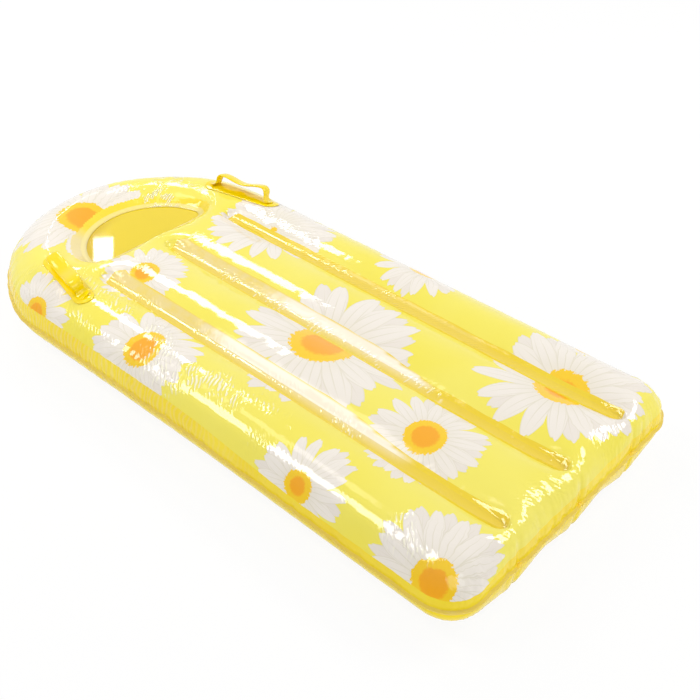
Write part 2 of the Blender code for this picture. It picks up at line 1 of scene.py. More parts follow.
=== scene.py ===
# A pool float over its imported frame: inflated films, daisy print, strap handles and air valve.
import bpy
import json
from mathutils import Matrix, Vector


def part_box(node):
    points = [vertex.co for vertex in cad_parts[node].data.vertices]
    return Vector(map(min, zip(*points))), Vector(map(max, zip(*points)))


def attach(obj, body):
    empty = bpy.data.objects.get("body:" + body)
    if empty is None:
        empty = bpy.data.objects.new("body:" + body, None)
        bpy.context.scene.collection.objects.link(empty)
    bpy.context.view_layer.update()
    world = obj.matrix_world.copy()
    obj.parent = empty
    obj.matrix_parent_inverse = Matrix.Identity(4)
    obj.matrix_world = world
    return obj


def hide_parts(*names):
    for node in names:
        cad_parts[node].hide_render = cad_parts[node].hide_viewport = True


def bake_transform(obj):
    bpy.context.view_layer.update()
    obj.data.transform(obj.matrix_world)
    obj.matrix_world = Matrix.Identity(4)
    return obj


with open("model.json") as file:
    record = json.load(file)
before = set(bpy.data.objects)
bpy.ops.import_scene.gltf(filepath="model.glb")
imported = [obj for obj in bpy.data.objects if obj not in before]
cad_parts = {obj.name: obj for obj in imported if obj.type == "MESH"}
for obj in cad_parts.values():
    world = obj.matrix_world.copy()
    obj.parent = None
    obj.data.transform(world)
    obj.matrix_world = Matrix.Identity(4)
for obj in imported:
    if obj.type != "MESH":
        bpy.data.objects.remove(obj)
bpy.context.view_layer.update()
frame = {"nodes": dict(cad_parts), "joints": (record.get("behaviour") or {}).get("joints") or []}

import json
import math

import bmesh
import bpy
import numpy as np
from mathutils import Matrix, Quaternion, Vector
from mathutils.bvhtree import BVHTree
from mathutils.geometry import delaunay_2d_cdt

print("frame loaded")

# The camera stands where the photograph was taken from.
view = {"place": (-0.8645, -0.9507, 1.0208), "yaw": 47.297, "pitch": 38.104, "roll": 0.071, "focus": 1008.7,
        "pixels": 700, "sensor": 36.0}

# Shape of the inflated body; the rest of it is read from the frame.
body = {
    "headLength": 0.258,
    "tailCorner": 0.058,
    "seamWidth": 0.004,
    "grooveWidth": 0.014,
    "grooveDepth": 0.015,
    "windowDepth": 0.022,
    "windowCorner": 0.022,
    "windowWeld": 0.006,
    "weldGap": 0.0003,
    "restFlat": 0.0005,
    "wall": 0.00109,
    "cadWall": 0.001,
}
topLow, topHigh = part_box("top_sheet")
panelLow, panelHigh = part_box("window_panel")
webLow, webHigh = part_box("web_right")
halfWidth = topHigh.x
headY, tailY = topHigh.y, topLow.y
crestZ = topHigh.z
seamZ = topLow.z - body["weldGap"] / 2
shoulderY = headY - body["headLength"]
grooveRadius = body["grooveWidth"] / 2
grooveX = (webLow.x + webHigh.x) / 2
grooveLow, grooveHigh = webLow.y, webHigh.y
windowY = panelLow.y - body["weldGap"]
windowRadius = panelHigh.y + body["weldGap"] - windowY
cornerX = math.sqrt((windowRadius - body["windowCorner"]) ** 2 - body["windowCorner"] ** 2)
cornerY = windowY + body["windowCorner"]
cornerAngle = math.atan2(body["windowCorner"], cornerX)
grooves = {"left": -grooveX, "center": 0.0, "right": grooveX}


# Distances in the plan, all for arrays of points.
def rimDistance(x, y):
    across = x / halfWidth
    along = (y - shoulderY) / body["headLength"]
    share = np.maximum(np.hypot(across, along), 1e-6)
    slope = np.hypot(across / halfWidth, along / body["headLength"]) / share
    head = (1 - share) / np.maximum(slope, 1e-6)
    side = halfWidth - np.abs(x)
    tail = y - tailY
    radius = body["tailCorner"]
    corner = radius - np.hypot(radius - side, radius - tail)
    square = np.where(np.maximum(side, tail) < radius, corner, np.minimum(side, tail))
    return np.where(y >= shoulderY, head, square)


def grooveDistance(lineX, x, y):
    beyond = np.maximum(np.maximum(grooveLow - y, y - grooveHigh), 0.0)
    return np.hypot(x - lineX, beyond) - grooveRadius


def windowDistance(x, y):
    out = np.hypot(x, y - windowY)
    inFan = ((y - windowY) >= out * math.sin(cornerAngle)) & (y >= cornerY)
    fan = np.maximum(out - windowRadius, windowY - y)
    corner = np.hypot(np.abs(x) - cornerX, y - cornerY) - body["windowCorner"]
    return np.where(inFan, fan, np.where(np.abs(x) <= cornerX, windowY - y, corner))


def weldTable(x, y):
    rows = [rimDistance(x, y) - body["seamWidth"], windowDistance(x, y)]
    rows += [grooveDistance(lineX, x, y) for lineX in grooves.values()]
    return np.maximum(np.array(rows), 0.0)


def filmShape(x, y, upper):
    # Height of the filled film: round walls at the rim and the well, valleys at the other welds.
    table = weldTable(x, y)
    order = np.argsort(table, axis=0)
    near = np.take_along_axis(table, order[:1], 0)[0]
    second = np.take_along_axis(table, order[1:2], 0)[0]
    reach = (near + second) / 2
    share = np.clip(1 - near / np.maximum(reach, 1e-6), 0, 1)
    isRim, isWindow = order[0] == 0, order[0] == 1
    roundWall = 1 - np.sqrt(1 - share ** 2)
    valley = share ** 2
    if upper:
        rimDepth = crestZ - (seamZ + body["weldGap"] / 2 + body["cadWall"])
        innerDepth = np.where(isWindow, body["windowDepth"], body["grooveDepth"])
        depth = np.where(isRim, rimDepth * roundWall, innerDepth * valley)
        height = crestZ - depth
    else:
        rimDepth = seamZ - body["weldGap"] / 2 - body["cadWall"] + body["restFlat"]
        wellDepth = panelLow.z - body["weldGap"] - body["cadWall"] + body["restFlat"]
        inner = np.where(isWindow, wellDepth * roundWall, body["grooveDepth"] * valley)
        depth = np.where(isRim, rimDepth * roundWall, inner)
        height = np.maximum(depth - body["restFlat"], 0.0)
    return height, near, reach, share, isRim, isWindow, rimDepth


# Outlines of the welds, as places with outward normals.
def arc(middle, radius, start, turn, steps):
    rows = []
    for i in range(steps + 1):
        angle = start + turn * i / steps
        nx, ny = math.cos(angle), math.sin(angle)
        rows.append((middle[0] + radius * nx, middle[1] + radius * ny, nx, ny))
    return rows


def straight(start, end, steps, normal):
    # What lies between two corners, without the corners.
    (ax, ay), (bx, by) = start, end
    return [(ax + (bx - ax) * i / steps, ay + (by - ay) * i / steps, *normal) for i in range(1, steps)]


def rimOutline(step):
    points = []
    count = int(math.pi * halfWidth / step)
    for i in range(count + 1):
        angle = math.pi * i / count
        normal = Vector((math.cos(angle) / halfWidth, math.sin(angle) / body["headLength"])).normalized()
        points.append((halfWidth * math.cos(angle), shoulderY + body["headLength"] * math.sin(angle), *normal))
    radius = body["tailCorner"]
    inX, inY = halfWidth - radius, tailY + radius
    quarter = math.pi / 2
    cornerSteps = max(int(quarter * radius / step), 3)
    sideSteps = int((shoulderY - tailY - radius) / step)
    points += straight((-halfWidth, shoulderY), (-halfWidth, inY), sideSteps, (-1.0, 0.0))
    points += arc((-inX, inY), radius, math.pi, quarter, cornerSteps)
    points += straight((-inX, tailY), (inX, tailY), int(2 * inX / step), (0.0, -1.0))
    points += arc((inX, inY), radius, 1.5 * math.pi, quarter, cornerSteps)
    points += straight((halfWidth, inY), (halfWidth, shoulderY), sideSteps, (1.0, 0.0))
    return np.array(points)


def grooveOutline(lineX, step):
    endSteps = max(int(math.pi * grooveRadius / step), 5)
    sideSteps = int((grooveHigh - grooveLow) / step)
    left, right = lineX - grooveRadius, lineX + grooveRadius
    points = arc((lineX, grooveHigh), grooveRadius, 0.0, math.pi, endSteps)
    points += straight((left, grooveHigh), (left, grooveLow), sideSteps, (-1.0, 0.0))
    points += arc((lineX, grooveLow), grooveRadius, math.pi, math.pi, endSteps)
    points += straight((right, grooveLow), (right, grooveHigh), sideSteps, (1.0, 0.0))
    return np.array(points)


def windowOutline(step):
    radius = body["windowCorner"]
    turn, fanTurn = cornerAngle + math.pi / 2, math.pi - 2 * cornerAngle
    cornerSteps = max(int(turn * radius / step), 4)
    fanSteps = int(fanTurn * windowRadius / step)
    points = arc((cornerX, cornerY), radius, -math.pi / 2, turn, cornerSteps)
    points += arc((0.0, windowY), windowRadius, cornerAngle, fanTurn, fanSteps)[1:-1]
    points += arc((-cornerX, cornerY), radius, math.pi - cornerAngle, turn, cornerSteps)
    points += straight((-cornerX, windowY), (cornerX, windowY), int(2 * cornerX / step), (0.0, -1.0))
    return np.array(points)


# How finely the films are meshed, and how their rows of corners crowd towards the welds.
mesh = {"rimStep": 0.0021, "step": 0.0035, "rimRings": 28, "wallRings": 16, "windowStep": 0.75,
        "crowding": 1.15, "packedTo": 0.2, "coarseFrom": 0.6, "rimSpacing": 0.8, "wallSpacing": 0.72,
        "probe": 0.001, "probeEnd": 0.14, "far": 0.2, "slope": 0.0005}


def crestReach(outline, own):
    # How far the film goes from a weld before another weld is nearer.
    reach = np.full(len(outline), mesh["far"])
    found = np.zeros(len(outline), bool)
    for distance in np.arange(mesh["probe"], mesh["probeEnd"], mesh["probe"]):
        x = outline[:, 0] + outline[:, 2] * distance
        y = outline[:, 1] + outline[:, 3] * distance
        others = np.delete(weldTable(x, y), own, 0).min(0)
        hit = (others <= distance) & ~found
        reach[hit] = distance
        found |= hit
    return reach


class PlanPoints:  # corners of a film seen from above, none closer to another than its spacing
    def __init__(self, cell=0.004):
        self.points, self.edges, self.cells, self.cell = [], [], {}, cell

    def put(self, x, y):
        self.cells.setdefault((math.floor(x / self.cell), math.floor(y / self.cell)), []).append((x, y))
        self.points.append((x, y))

    def isFree(self, x, y, spacing):
        i, j = math.floor(x / self.cell), math.floor(y / self.cell)
        for a in (i - 1, i, i + 1):
            for b in (j - 1, j, j + 1):
                for px, py in self.cells.get((a, b), ()):
                    if (px - x) ** 2 + (py - y) ** 2 < spacing * spacing:
                        return False
        return True

    def addLoop(self, loop):
        first = len(self.points)
        for x, y in loop:
            self.put(x, y)
        self.edges += [(first + i, first + (i + 1) % len(loop)) for i in range(len(loop))]

    def addLoose(self, loop, spacing):
        for x, y in loop:
            if self.isFree(x, y, spacing):
                self.put(x, y)


def filmPlan(detail):
    rimStep, step = mesh["rimStep"] * detail, mesh["step"] * detail
    plan = PlanPoints()
    rim = rimOutline(rimStep)
    inner = np.column_stack([rim[:, :2] - rim[:, 2:] * body["seamWidth"], -rim[:, 2:]])
    plan.addLoop(rim[:, :2])
    plan.addLoop(inner[:, :2])
    window = windowOutline(step * mesh["windowStep"])
    plan.addLoop(window[:, :2] - window[:, 2:] * body["windowWeld"])
    plan.addLoop(window[:, :2])
    lines = {index + 2: grooveOutline(lineX, step) for index, lineX in enumerate(grooves.values())}
    for line in lines.values():
        plan.addLoop(line[:, :2])
    reach = crestReach(inner, 0)
    rings = int(mesh["rimRings"] / detail)
    for ring in range(1, rings + 1):
        part = ring / rings
        distance = reach * (1 - math.cos(math.pi / 2 * part ** mesh["crowding"]))
        loop = inner[:, :2] + inner[:, 2:] * distance[:, None]
        every = 1 if part < mesh["coarseFrom"] else 2
        plan.addLoose(loop[::every], rimStep * (0.0 if part < mesh["packedTo"] else mesh["rimSpacing"]) * every)
    for own, outline in [(1, window)] + list(lines.items()):
        reach = crestReach(outline, own)
        rings = int(mesh["wallRings"] / detail)
        for ring in range(1, rings + 1):
            loop = outline[:, :2] + outline[:, 2:] * (reach * ring / rings)[:, None]
            plan.addLoose(loop, step * mesh["wallSpacing"])
    return plan


def filmTriangles(plan):
    vectors = [Vector(point) for point in plan.points]
    points, _, triangles, _, _, _ = delaunay_2d_cdt(vectors, plan.edges, [], 1, 1e-7)
    points = np.array([tuple(point) for point in points])
    triangles = np.array([tuple(triangle) for triangle in triangles])
    middle = points[triangles].mean(1)
    keep = windowDistance(middle[:, 0], middle[:, 1]) > -body["windowWeld"]
    triangles = triangles[keep]
    a, b, c = (points[triangles[:, k]] for k in range(3))
    turn = (b[:, 0] - a[:, 0]) * (c[:, 1] - a[:, 1]) - (b[:, 1] - a[:, 1]) * (c[:, 0] - a[:, 0])
    triangles[turn < 0] = triangles[turn < 0][:, ::-1]
    used = np.unique(triangles)
    renumber = np.full(len(points), -1)
    renumber[used] = np.arange(len(used))
    return points[used], renumber[triangles]


# Smooth seeded noise along a line and over a plane, from -1 to 1.
def wave(values, scale, seed):
    table = np.random.RandomState(seed).rand(1024) * 2 - 1
    steps = np.asarray(values) / scale + 300.0
    cell = np.floor(steps).astype(int)
    part = steps - cell
    part = part * part * (3 - 2 * part)
    return table[cell % 1024] * (1 - part) + table[(cell + 1) % 1024] * part


def cloud(x, y, scale, seed):
    table = np.random.RandomState(seed).rand(256, 256) * 2 - 1
    u, v = x / scale + 100.0, y / scale + 100.0
    i, j = np.floor(u).astype(int), np.floor(v).astype(int)
    a, b = u - i, v - j
    a, b = a * a * (3 - 2 * a), b * b * (3 - 2 * b)
    low = table[i % 256, j % 256] * (1 - a) + table[(i + 1) % 256, j % 256] * a
    high = table[i % 256, (j + 1) % 256] * (1 - a) + table[(i + 1) % 256, (j + 1) % 256] * a
    return low * (1 - b) + high * b


def rimAlong(x, y):
    # How far round the rim a point lies, from the middle of the head to the tail on either side.
    radius = body["tailCorner"]
    headPart = np.arctan2((y - shoulderY) / body["headLength"], x / halfWidth) * halfWidth
    half = math.pi / 2 * halfWidth
    sideLength = shoulderY - tailY - radius
    side = half + np.clip(shoulderY - y, 0, sideLength)
    cx, cy = halfWidth - radius, tailY + radius
    angle = np.arctan2(cy - y, np.maximum(np.abs(x) - cx, 1e-6))
    corner = half + sideLength + np.clip(angle, 0, math.pi / 2) * radius
    tail = half + sideLength + math.pi / 2 * radius + (cx - np.abs(x))
    lower = np.where(np.abs(x) < cx, tail, corner)
    below = np.where(y >= cy, side, lower)
    sign = np.sign(x) + (x == 0)
    return np.where(y >= shoulderY, (headPart - half) * -1.0, sign * below)


def smooth(value, low, high):
    share = np.clip((value - low) / (high - low), 0, 1)
    return share * share * (3 - 2 * share)


# How far the filled float strays from its even plan.
stray = {
    "waist": 0.004, "waistAt": -0.12, "waistLength": 0.30,
    "headShift": -0.004, "headAt": 0.40, "headLength": 0.13,
    "corner": 0.007, "cornerReach": 0.032,
    "quarter": 0.0120, "quarterStart": (12, 55), "quarterEnd": (112, 160), "quarterAway": (0.55, 1.0),
    "side": 0.011, "sideOut": (0.17, 0.225), "sideTail": (-0.60, -0.50), "sideHead": (0.30, 0.45),
    "sink": 0.004,
}


def nearSide(x, y):
    # The side tube left of the window and the grooves bulges more than the other.
    return smooth(-x, *stray["sideOut"]) * smooth(y, *stray["sideTail"]) * (1 - smooth(y, *stray["sideHead"]))


def strayed(x, y):
    outer = np.clip(np.abs(x) / halfWidth, 0, 1) ** 2
    waist = stray["waist"] * np.exp(-((y - stray["waistAt"]) / stray["waistLength"]) ** 2) * (x < 0)
    shift = stray["headShift"] * np.exp(-((y - stray["headAt"]) / stray["headLength"]) ** 2)
    corner = np.hypot(np.abs(x) - halfWidth, y - tailY) / stray["cornerReach"]
    push = stray["corner"] * np.exp(-corner ** 2) / math.sqrt(2)
    across, ahead = x / halfWidth, np.maximum(y - shoulderY, 0) / body["headLength"]
    angle = np.degrees(np.arctan2(ahead, across))
    quarter = smooth(angle, *stray["quarterStart"]) * (1 - smooth(angle, *stray["quarterEnd"]))
    pull = stray["quarter"] * quarter * smooth(np.hypot(across, ahead), *stray["quarterAway"])
    bulge = stray["side"] * nearSide(x, y)
    return x + (waist + shift) * outer + np.sign(x) * push - pull - bulge, y - push - pull


# Families of gathers along a weld: how far apart, how high and how far into the film they run.
gathers = {
    "deep": {"spacing": 0.023, "height": 0.0019, "reach": 0.060, "seed": 3},
    "middle": {"spacing": 0.0135, "height": 0.0012, "reach": 0.036, "seed": 5},
    "short": {"spacing": 0.0085, "height": 0.0006, "reach": 0.018, "seed": 7},
    "long": {"spacing": 0.0078, "height": 0.00026, "reach": 0.095, "seed": 9},
    "tail": {"spacing": 0.0095, "height": 0.0012, "reach": 0.10, "seed": 13},
    "groove": {"spacing": 0.0075, "height": 0.0007, "reach": 0.016, "seed": 15},
    "grooveEnd": {"spacing": 0.006, "height": 0.0013, "reach": 0.020, "seed": 17},
    "window": {"spacing": 0.012, "height": 0.0007, "reach": 0.030, "seed": 19},
    "shoulder": {"spacing": 0.0085, "height": 0.00055, "reach": 0.5, "seed": 21},
}
# How uneven a gather is, in shares of its spacing, height and reach.
uneven = {"wander": 0.9, "wanderLength": 1.9, "drift": 0.5, "driftLength": 6, "rest": 0.64, "reach": 0.8,
          "reachChange": 0.5, "reachLength": 1.3, "strong": 0.62, "strongChange": 0.5, "strongLength": 5,
          "fade": 1.4, "start": 0.004}
# How strong the rim's gathers are round the head, the corners, the tail and along the sides.
rimStrength = {"headFrom": -0.12, "headTo": 0.05, "corner": 1.25, "cornerReach": 0.10, "tail": 0.85,
               "tailFrom": 0.13, "tailFade": 0.07, "side": 0.22, "patches": 0.45, "patchLength": 0.10,
               "middle": 0.45, "middleAt": 0.08, "middleReach": 0.13, "crestAt": 0.062, "crestReach": 0.030,
               "crest": 0.6, "crestLength": 0.05}
# Stretches of the side tubes, beside the handles, where the film is gathered across them.
shoulders = [{"at": (-0.196, 0.175), "size": (0.045, 0.11)}, {"at": (0.196, 0.19), "size": (0.045, 0.10)},
             {"at": (-0.05, 0.205), "size": (0.12, 0.035)}]
# Easing of the film towards its neighbours: across, along and up, from a little way off each weld.
ease = {"steps": 24, "share": (0.25, 0.25, 0.5), "from": 0.003, "to": 0.015}
seamWaves = {"drift": 0.0013, "driftLength": 0.028, "flutter": 0.0006, "flutterLength": 0.010,
             "scallop": 0.0016, "spacing": 0.034, "wander": 1.5, "wanderLength": 0.05, "rest": 0.7,
             "uneven": 0.6, "unevenLength": 0.13, "reach": 0.018}
# Crinkles along the grooves, the folds that run on to the tail, and soft dents all over.
grooveCrinkle = {"slant": 0.7, "cluster": 2.2, "clusterLength": 0.045, "endTurn": 1.6, "endFrom": 0.004}
fold = {"depth": 0.0022, "width": 0.0055, "drift": 0.002, "driftLength": 0.02, "start": 0.012}
dents = {"broad": 0.0007, "broadLength": 0.050, "broadFrom": 0.02, "stretch": 0.6,
         "fine": 0.00015, "fineLength": 0.012, "fineFrom": 0.01}
lowerFilm = {"gathers": 0.45, "tail": 0.30, "tailFrom": 0.10, "tailFade": 0.08}


def gather(along, away, family, strength=1.0):
    size = gathers[family]
    spacing, seed = size["spacing"], size["seed"]
    wander = uneven["wander"] * wave(along, spacing * uneven["wanderLength"], seed)
    drift = uneven["drift"] * wave(along, spacing * uneven["driftLength"], seed + 3)
    puff = np.abs(np.sin(math.pi * (along / spacing + wander + drift))) - uneven["rest"]
    away = np.maximum(away, 0)
    change = uneven["reachChange"] * wave(along, spacing * uneven["reachLength"], seed + 1)
    reach = np.maximum(size["reach"] * (uneven["reach"] + change), uneven["start"])
    fade = np.exp(-(away / reach) ** uneven["fade"]) * (1 - np.exp(-away / uneven["start"]))
    strong = uneven["strong"] + uneven["strongChange"] * wave(along, spacing * uneven["strongLength"], seed + 2)
    return size["height"] * puff * fade * strong * strength


def wallArc(share, reach, depth):
    # Length of the rim's wall from its crest, in twelve chords.
    angle = np.arccos(np.clip(share, 0, 1))
    total = np.zeros_like(angle)
    for i in range(12):
        t = angle * (i + 0.5) / 12
        total += np.hypot(reach * np.sin(t), depth * np.cos(t)) * angle / 12
    return total


def rimGathers(x, y, along, away):
    size = rimStrength
    head = smooth(y, shoulderY + size["headFrom"], shoulderY + size["headTo"])
    corner = np.exp(-(np.hypot(np.abs(x) - halfWidth, y - tailY) / size["cornerReach"]) ** 2)
    tail = smooth(tailY + size["tailFrom"] - y, 0, size["tailFade"])
    patches = np.clip(1.6 * wave(along, size["patchLength"], 51), 0, 1)
    middle = np.exp(-((y - size["middleAt"]) / size["middleReach"]) ** 4)
    side = size["side"] + size["patches"] * patches + size["middle"] * middle
    strength = np.maximum.reduce([head, size["corner"] * corner, size["tail"] * tail, side])
    lift = sum(gather(along, away, family, strength) for family in ("deep", "middle", "short", "long"))
    crest = np.exp(-((away - size["crestAt"]) / size["crestReach"]) ** 2) * tail
    crest = crest * size["crest"] * (1 + wave(x, size["crestLength"], 53))
    lift += gather(x, 0 * away + 0.02, "tail", np.clip(crest, 0, 1))
    for patch in shoulders:
        spot = ((x - patch["at"][0]) / patch["size"][0]) ** 2 + ((y - patch["at"][1]) / patch["size"][1]) ** 2
        lift += gather(y + 0.25 * np.abs(x), 0 * x + 0.02, "shoulder", np.exp(-spot * spot))
    return lift


def grooveGathers(x, y, away, number, lineX):
    # Crinkles along its edges, gathers round its ends, and the fold from its end to the tail.
    size = grooveCrinkle
    side = np.where(x > lineX, 1.0, 2.3)
    cluster = np.clip(cloud(x * 0 + side, y, size["clusterLength"], 21 + number) * size["cluster"], 0, 1)
    lift = gather(y + size["slant"] * away + side, away, "groove", cluster)
    beyond = np.maximum(np.maximum(grooveLow - y, y - grooveHigh), 0.0)
    angle = np.arctan2(np.abs(y - np.clip(y, grooveLow, grooveHigh)), x - lineX)
    around = angle * grooveRadius * size["endTurn"] + number + np.where(y > 0, 3.0, 0.0)
    lift += gather(around, away, "grooveEnd", np.clip(beyond / size["endFrom"], 0, 1))
    drift = fold["drift"] * wave(y, fold["driftLength"], 61 + number)
    valley = np.exp(-((x - lineX - drift) / fold["width"]) ** 2)
    return lift - fold["depth"] * valley * smooth(grooveLow - y, 0.0, fold["start"])


# Where the film is crinkled finely, for its bump and its painted highlight strokes: middle, half size and how
# much.
crinkled = [
    ((-0.192, 0.14), (0.040, 0.15), 1.05), ((-0.205, -0.06), (0.036, 0.15), 1.2),
    ((-0.205, -0.30), (0.030, 0.12), 0.16), ((-0.210, -0.455), (0.030, 0.05), 0.9),
    ((0.192, 0.18), (0.040, 0.12), 0.7), ((0.0, -0.535), (0.26, 0.022), 0.30),
    ((-0.045, 0.24), (0.10, 0.025), 0.4), ((0.12, 0.41), (0.12, 0.050), 1.5),
    ((-grooveX, -0.10), (0.014, 0.42), 0.75), ((0.0, -0.10), (0.014, 0.42), 0.75),
    ((grooveX, -0.05), (0.014, 0.42), 0.55), ((-0.222, 0.33), (0.03, 0.05), 0.6),
]
crinklePatch = {"least": 0.55, "change": 1.3, "length": 0.040, "stretch": 1.6}

# The unprinted bands beside the grooves, with a painted reflection of the lamps over part of each; the one by
# the right groove is narrow and has hardly any.
band = {"half": 0.0138, "wider": 0.0047, "shift": 0.0065, "tail": 0.006, "head": 0.004, "wander": 0.0008,
        "end": (-0.385, -0.315, -0.315), "fade": 0.045, "taper": 0.15, "paintedSheen": (1.0, 1.0, 0.12),
        "line": (-0.0060, -0.0025), "inside": (0.0008, 0.0020)}


def bandMap(x, y):
    # How far a point lies outside the unprinted bands, and how strong the painted reflection on the film is
    # there.
    aways, sheens = [], []
    for number, lineX in enumerate(grooves.values()):
        end, amount = band["end"][number], band["paintedSheen"][number]
        paintedSheen = smooth(y, end, end + band["fade"]) * amount
        taper = smooth(y, end, end + band["taper"]) * amount
        half = band["half"] + band["wider"] * taper * (number != 2)
        middle = lineX + band["shift"] * taper
        aside = np.abs(x - middle) - half - band["wander"] * wave(y, 0.03, 90 + number)
        beyond = np.maximum(y - grooveHigh - band["head"], grooveLow - band["tail"] - y)
        past = y - grooveHigh + half - band["head"]
        rounded = np.hypot(np.maximum(past, 0), x - middle) - half
        away = np.where(past > 0, rounded, np.maximum(aside, beyond))
        aways.append(away)
        sheens.append(paintedSheen * smooth(x - lineX, *band["line"]) * smooth(-away, *band["inside"]))
    best = np.argmin(aways, axis=0)[None]
    return np.min(aways, axis=0), np.take_along_axis(np.array(sheens), best, 0)[0]


def crinkleMap(x, y):
    total = np.zeros_like(x)
    for (atX, atY), (halfX, halfY), strong in crinkled:
        spot = ((x - atX) / halfX) ** 4 + ((y - atY) / halfY) ** 4
        total = np.maximum(total, strong * np.exp(-spot))
    patches = cloud(x * crinklePatch["stretch"], y, crinklePatch["length"], 81)
    return total * np.clip(crinklePatch["least"] + crinklePatch["change"] * patches, 0, 1)


def eased(data, corners, near):
    # The film's own tension rounds it away from its welds.
    edges = np.zeros(len(data.edges) * 2, int)
    data.edges.foreach_get("vertices", edges)
    edges = edges.reshape(-1, 2)
    count = np.bincount(edges.ravel(), minlength=len(corners)).astype(float)
    free = smooth(near, ease["from"], ease["to"])[:, None] * np.array(ease["share"])
    for _ in range(ease["steps"]):
        total = np.zeros_like(corners)
        np.add.at(total, edges[:, 0], corners[edges[:, 1]])
        np.add.at(total, edges[:, 1], corners[edges[:, 0]])
        corners = corners + (total / count[:, None] - corners) * free
    return corners


def buildFilm(name, upper, detail):
    points, triangles = filmTriangles(filmPlan(detail))
    x, y = points[:, 0], points[:, 1]
    height, near, reach, share, isRim, isWindow, rimDepth = filmShape(x, y, upper)
    rim, table, along = rimDistance(x, y), weldTable(x, y), rimAlong(x, y)
    arcAway = np.where(isRim, wallArc(share, reach, rimDepth), mesh["far"])
    fullArc = np.where(isRim, wallArc(np.zeros_like(share), reach, rimDepth), 0.0)
    step = mesh["slope"]
    gradX = (rimDistance(x + step, y) - rimDistance(x - step, y)) / (2 * step)
    gradY = (rimDistance(x, y + step) - rimDistance(x, y - step)) / (2 * step)
    length = np.maximum(np.hypot(gradX, gradY), 1e-6)
    outX, outY = -gradX / length, -gradY / length
    extra = np.where(isRim, (fullArc - arcAway) - (reach - near), 0.0)
    pattern = np.column_stack([x + outX * extra, y + outY * extra])
    corners = np.column_stack([x, y, height])
    data = bpy.data.meshes.new(name)
    data.from_pydata(corners.tolist(), [], (triangles if upper else triangles[:, ::-1]).tolist())
    data.update()
    corners = eased(data, corners, near)
    data.vertices.foreach_set("co", corners.ravel())
    data.update()
    normals = np.zeros(len(corners) * 3)
    data.vertex_normals.foreach_get("vector", normals)
    lift = rimGathers(x, y, along, np.where(isRim, arcAway, table[0] + 0.045))
    if not upper:
        lift *= lowerFilm["gathers"] - lowerFilm["tail"] * smooth(
            tailY + lowerFilm["tailFrom"] - y, 0.0, lowerFilm["tailFade"])
    for number, lineX in enumerate(grooves.values()):
        lift += grooveGathers(x, y, table[number + 2], number, lineX)
    angle = np.arctan2(y - windowY - 0.05, x) * windowRadius
    lift += gather(angle, table[1], "window")
    broad = cloud(x, y * dents["stretch"], dents["broadLength"], 31) * np.clip(near / dents["broadFrom"], 0, 1)
    fine = cloud(x, y, dents["fineLength"], 33) * np.clip(near / dents["fineFrom"], 0, 1)
    lift += dents["broad"] * broad
    lift += dents["fine"] * fine
    onFloor = (height <= 1e-6) & (not upper)
    corners = corners + normals.reshape(-1, 3) * np.where(onFloor, 0.0, lift)[:, None]
    # The seam waves up and down, and in and out.
    onSeam = rim <= body["seamWidth"] + 1e-6
    fade = np.where(isRim, np.exp(-arcAway / seamWaves["reach"]), onSeam * 1.0)
    size = seamWaves
    bend = size["drift"] * wave(along, size["driftLength"], 41)
    bend += size["flutter"] * wave(along, size["flutterLength"], 43)
    wander = size["wander"] * wave(along, size["wanderLength"], 47)
    bow = np.abs(np.sin(along / size["spacing"] * math.pi + wander)) - size["rest"]
    inward = bow * size["scallop"] * size["uneven"] * (1 + wave(along, size["unevenLength"], 49))
    corners[:, 2] += (bend - stray["sink"] * nearSide(x, y)) * fade
    corners[:, 0], corners[:, 1] = strayed(corners[:, 0], corners[:, 1])
    corners[:, 0] += outX * inward * fade
    corners[:, 1] += outY * inward * fade
    if not upper:
        corners[:, 2] = np.maximum(corners[:, 2], 0.0)
    data.vertices.foreach_set("co", corners.ravel())
    # The film's flat place, and how far each corner is from the welds and bands, for the paint.
    layer = data.uv_layers.new(name="film")
    loops = np.zeros(len(data.loops), int)
    data.loops.foreach_get("vertex_index", loops)
    layer.data.foreach_set("uv", pattern[loops].ravel())
    # The second value is how strong the painted reflection over the groove bands is.
    bandAway, bandSheen = bandMap(x, y)
    seamAway = np.where(isRim, arcAway, np.where(onSeam, 0.0, mesh["far"]))
    seamAway = seamAway - np.clip(body["seamWidth"] - rim, 0, 1)
    distances = {
        "bandAway": bandAway, "bandSheen": bandSheen, "seamAway": seamAway, "windowAway": windowDistance(x, y),
        "grooveAway": np.min([grooveDistance(lineX, x, y) for lineX in grooves.values()], axis=0),
        "seamAlong": along, "crinkle": crinkleMap(x, y), "strokeAlong": np.abs(along), "strokeAcross": rim,
    }
    for key, values in distances.items():
        data.attributes.new(key, "FLOAT", "POINT").data.foreach_set("value", values.astype(np.float32))
    film = bpy.data.objects.new(name, data)
    bpy.context.scene.collection.objects.link(film)
    data.shade_smooth()
    print(name, len(data.polygons), "triangles before its wall")
    return film


def pick(thing):
    bpy.ops.object.select_all(action="DESELECT")
    thing.select_set(True)
    bpy.context.view_layer.objects.active = thing


topFilm = buildFilm("printedTop", True, 1.0)
bottomFilm = buildFilm("goldenBottom", False, 1.25)


def treeOf(thing):
    bm = bmesh.new()
    bm.from_mesh(thing.data)
    tree = BVHTree.FromBMesh(bm)
    bm.free()
    return tree


topTree, bottomTree = treeOf(topFilm), treeOf(bottomFilm)


def heightAt(x, y):
    spot = topTree.ray_cast(Vector((x, y, 1.0)), Vector((0, 0, -1)))[0]
    return spot.z if spot else seamZ


def gridFaces(rows, columns):
    across = columns + 1
    return [(a, a + 1, a + across + 1, a + across)
            for i in range(rows) for a in range(i * across, i * across + columns)]


def tubeFaces(rings, count):
    return [(i * count + k, i * count + (k + 1) % count, (i + 1) * count + (k + 1) % count, (i + 1) * count + k)
            for i in range(rings - 1) for k in range(count)]


def makeMesh(name, corners, faces):
    data = bpy.data.meshes.new(name)
    data.from_pydata([tuple(corner) for corner in corners], [], faces)
    data.update()
    thing = bpy.data.objects.new(name, data)
    bpy.context.scene.collection.objects.link(thing)
    return thing


